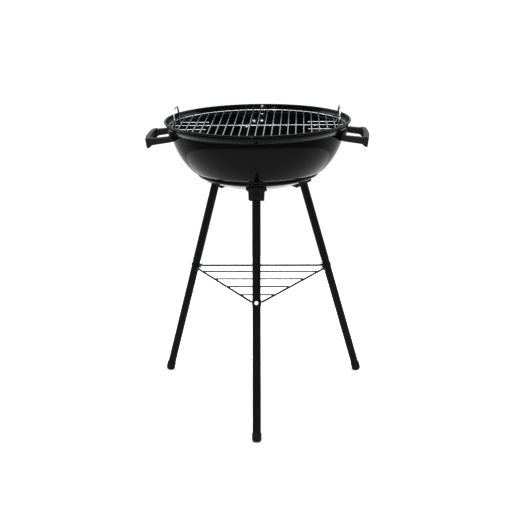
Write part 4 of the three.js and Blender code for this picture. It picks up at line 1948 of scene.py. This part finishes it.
@dataclass
class Studio:
    """A plain pale floor, soft light and the camera.

    A softbox is given by its name, place, side and power. The room's light changes
    between two levels over a range of the direction's Y, and so does the ceiling's
    share over a range of its Z.
    """

    floor_radius: float = 1.2
    floor_colour: str = "#f4f4f4"
    floor_roughness: float = 0.9
    floor_specular: float = 0.1
    contrast: float = 0.7
    target_height: float = 0.6
    room_range: tuple[float, float] = (-0.3, 0.45)
    room_light: tuple[float, float] = (0.45, 1.0)
    ceiling_range: tuple[float, float] = (0.45, 0.9)
    ceiling_share: tuple[float, float] = (1.0, 1.7)
    backdrop: float = 1.05
    softboxes: tuple[tuple[str, tuple[float, float, float], float, float], ...] = (
        ("overhead_softbox", (0.0, 0.5, 2.9), 3.0, 80),
        ("left_softbox", (-2.6, 0.9, 1.5), 1.6, 26),
        ("right_softbox", (2.6, 0.9, 1.5), 1.6, 26),
    )
    front_size: float = 0.13
    front_power: float = 6.5
    front_lamps: tuple[tuple[float, float, float], ...] = (
        (0.75, -2.10, 1.92),
        (0.31, -2.35, 1.52),
        (-0.19, -2.35, 1.50),
        (-0.20, -2.45, 0.88),
        (-0.86, -2.08, 1.84),
    )
    camera_at: tuple[float, float, float] = (0.1047, -2.5478, 1.1340)
    pitch: float = math.radians(17.04)
    pan: float = math.radians(2.4555)
    roll: float = math.radians(-0.8205)
    focal: float = 76.41
    sensor: float = 36.0

    def floor(self) -> None:
        """Lays a round floor."""
        bpy.ops.mesh.primitive_circle_add(
            vertices=128, radius=self.floor_radius, fill_type="NGON", location=(0, 0, 0)
        )
        piece = named("studio_floor")
        paint = bpy.data.materials.new("matt_white_floor_paint")
        paint.use_nodes = True
        shader = paint.node_tree.nodes["Principled BSDF"]
        shader.inputs["Base Color"].default_value = linear(self.floor_colour)
        shader.inputs["Roughness"].default_value = self.floor_roughness
        shader.inputs["Specular IOR Level"].default_value = self.floor_specular
        piece.data.materials.append(paint)

    def lamp(
        self, name: str, at: Sequence[float], size: float, power: float
    ) -> bpy.types.Object:
        """Hangs a square soft light that faces the bowl.

        Args:
            name: The name of the light.
            at: Its place.
            size: Its side.
            power: Its power in watts.

        Returns:
            The light.
        """
        bpy.ops.object.light_add(type="AREA", location=at)
        light = bpy.context.object
        light.name = name
        light.data.size = size
        light.data.energy = power
        aim = Vector((0, AXIS_Y, self.target_height)) - Vector(at)
        light.rotation_euler = aim.to_track_quat("-Z", "Y").to_euler()
        return light

    def sky(self) -> None:
        """Fills the room with soft light that is weaker on the camera's side."""
        world = bpy.data.worlds.new("white_studio")
        bpy.context.scene.world = world
        world.use_nodes = True
        tree = world.node_tree
        tree.nodes.clear()
        toward = add(tree, "ShaderNodeTexCoord").outputs["Generated"]
        split = add(tree, "ShaderNodeSeparateXYZ", {"Vector": toward})
        factors = []
        for axis, over, level in (
            ("Y", self.room_range, self.room_light),
            ("Z", self.ceiling_range, self.ceiling_share),
        ):
            ramp = add(
                tree,
                "ShaderNodeMapRange",
                {
                    "Value": split.outputs[axis],
                    "From Min": over[0],
                    "From Max": over[1],
                    "To Min": level[0],
                    "To Max": level[1],
                },
                interpolation_type="SMOOTHSTEP",
            )
            factors.append(ramp.outputs["Result"])
        strength = add(
            tree, "ShaderNodeMath", dict(enumerate(factors)), operation="MULTIPLY"
        ).outputs[0]
        room = add(tree, "ShaderNodeBackground", {"Strength": strength})
        seen = add(tree, "ShaderNodeBackground", {"Strength": self.backdrop})
        rays = add(tree, "ShaderNodeLightPath")
        mix = add(
            tree,
            "ShaderNodeMixShader",
            {0: rays.outputs["Is Camera Ray"], 1: room.outputs[0], 2: seen.outputs[0]},
        )
        for node in (room, seen):
            node.inputs["Color"].default_value = (1, 1, 1, 1)
        add(tree, "ShaderNodeOutputWorld", {"Surface": mix.outputs[0]})

    def camera(self) -> None:
        """Sets up the camera."""
        at = Vector(self.camera_at) + Vector((0, AXIS_Y, 0))
        bpy.ops.object.camera_add(location=at)
        camera = bpy.context.object
        turn = (
            Matrix.Rotation(self.pan, 3, "Z")
            @ Matrix.Rotation(QUARTER - self.pitch, 3, "X")
            @ Matrix.Rotation(self.roll, 3, "Z")
        )
        camera.rotation_euler = turn.to_euler()
        camera.data.lens = self.focal
        camera.data.sensor_width = self.sensor
        bpy.context.scene.camera = camera

    def build(self) -> None:
        """Sets up the floor, the light and the camera."""
        self.floor()
        self.sky()
        for softbox in self.softboxes:
            self.lamp(*softbox)
        for number, at in enumerate(self.front_lamps):
            self.lamp(f"front_lamp_{number}", at, self.front_size, self.front_power)
        self.camera()
        view = bpy.context.scene.view_settings
        view.view_transform = "Standard"
        view.gamma = self.contrast


def main() -> None:
    """Builds the grill and its studio."""
    logging.basicConfig(level=logging.INFO, format="%(message)s")
    legs = Legs()
    fasteners = Fasteners()
    Bowl().build()
    Vent().build()
    WireGrate(
        name="charcoal_grate_wires",
        node="charcoal_grate",
        body=Body.CHARCOAL_GRATE,
        ring=0.1518,
        ring_height=0.5815,
        ring_wire=0.0025,
        bar_wire=0.002,
        bar_height=0.5817,
        pitch=0.024,
        bars_each_side=6,
        cross_wire=0.002,
        cross_height=0.57805,
        cross_half=0.140,
    ).build()
    WireGrate(
        name="cooking_grate_wires",
        node="cooking_grate",
        body=Body.COOKING_GRATE,
        ring=0.207,
        ring_height=0.6797,
        ring_wire=0.00225,
        bar_wire=0.0016,
        bar_height=0.68025,
        pitch=0.0181,
        bars_each_side=11,
        cross_wire=0.0017,
        cross_height=0.6773,
        cross_half=0.2007,
    ).build()
    LiftingLoop().build()
    Handle().build()
    legs.build()
    Shelf().build(legs)
    fasteners.handle_set()
    fasteners.leg_set(legs)
    fasteners.clear()
    Studio().build()


if __name__ == "__main__":
    main()
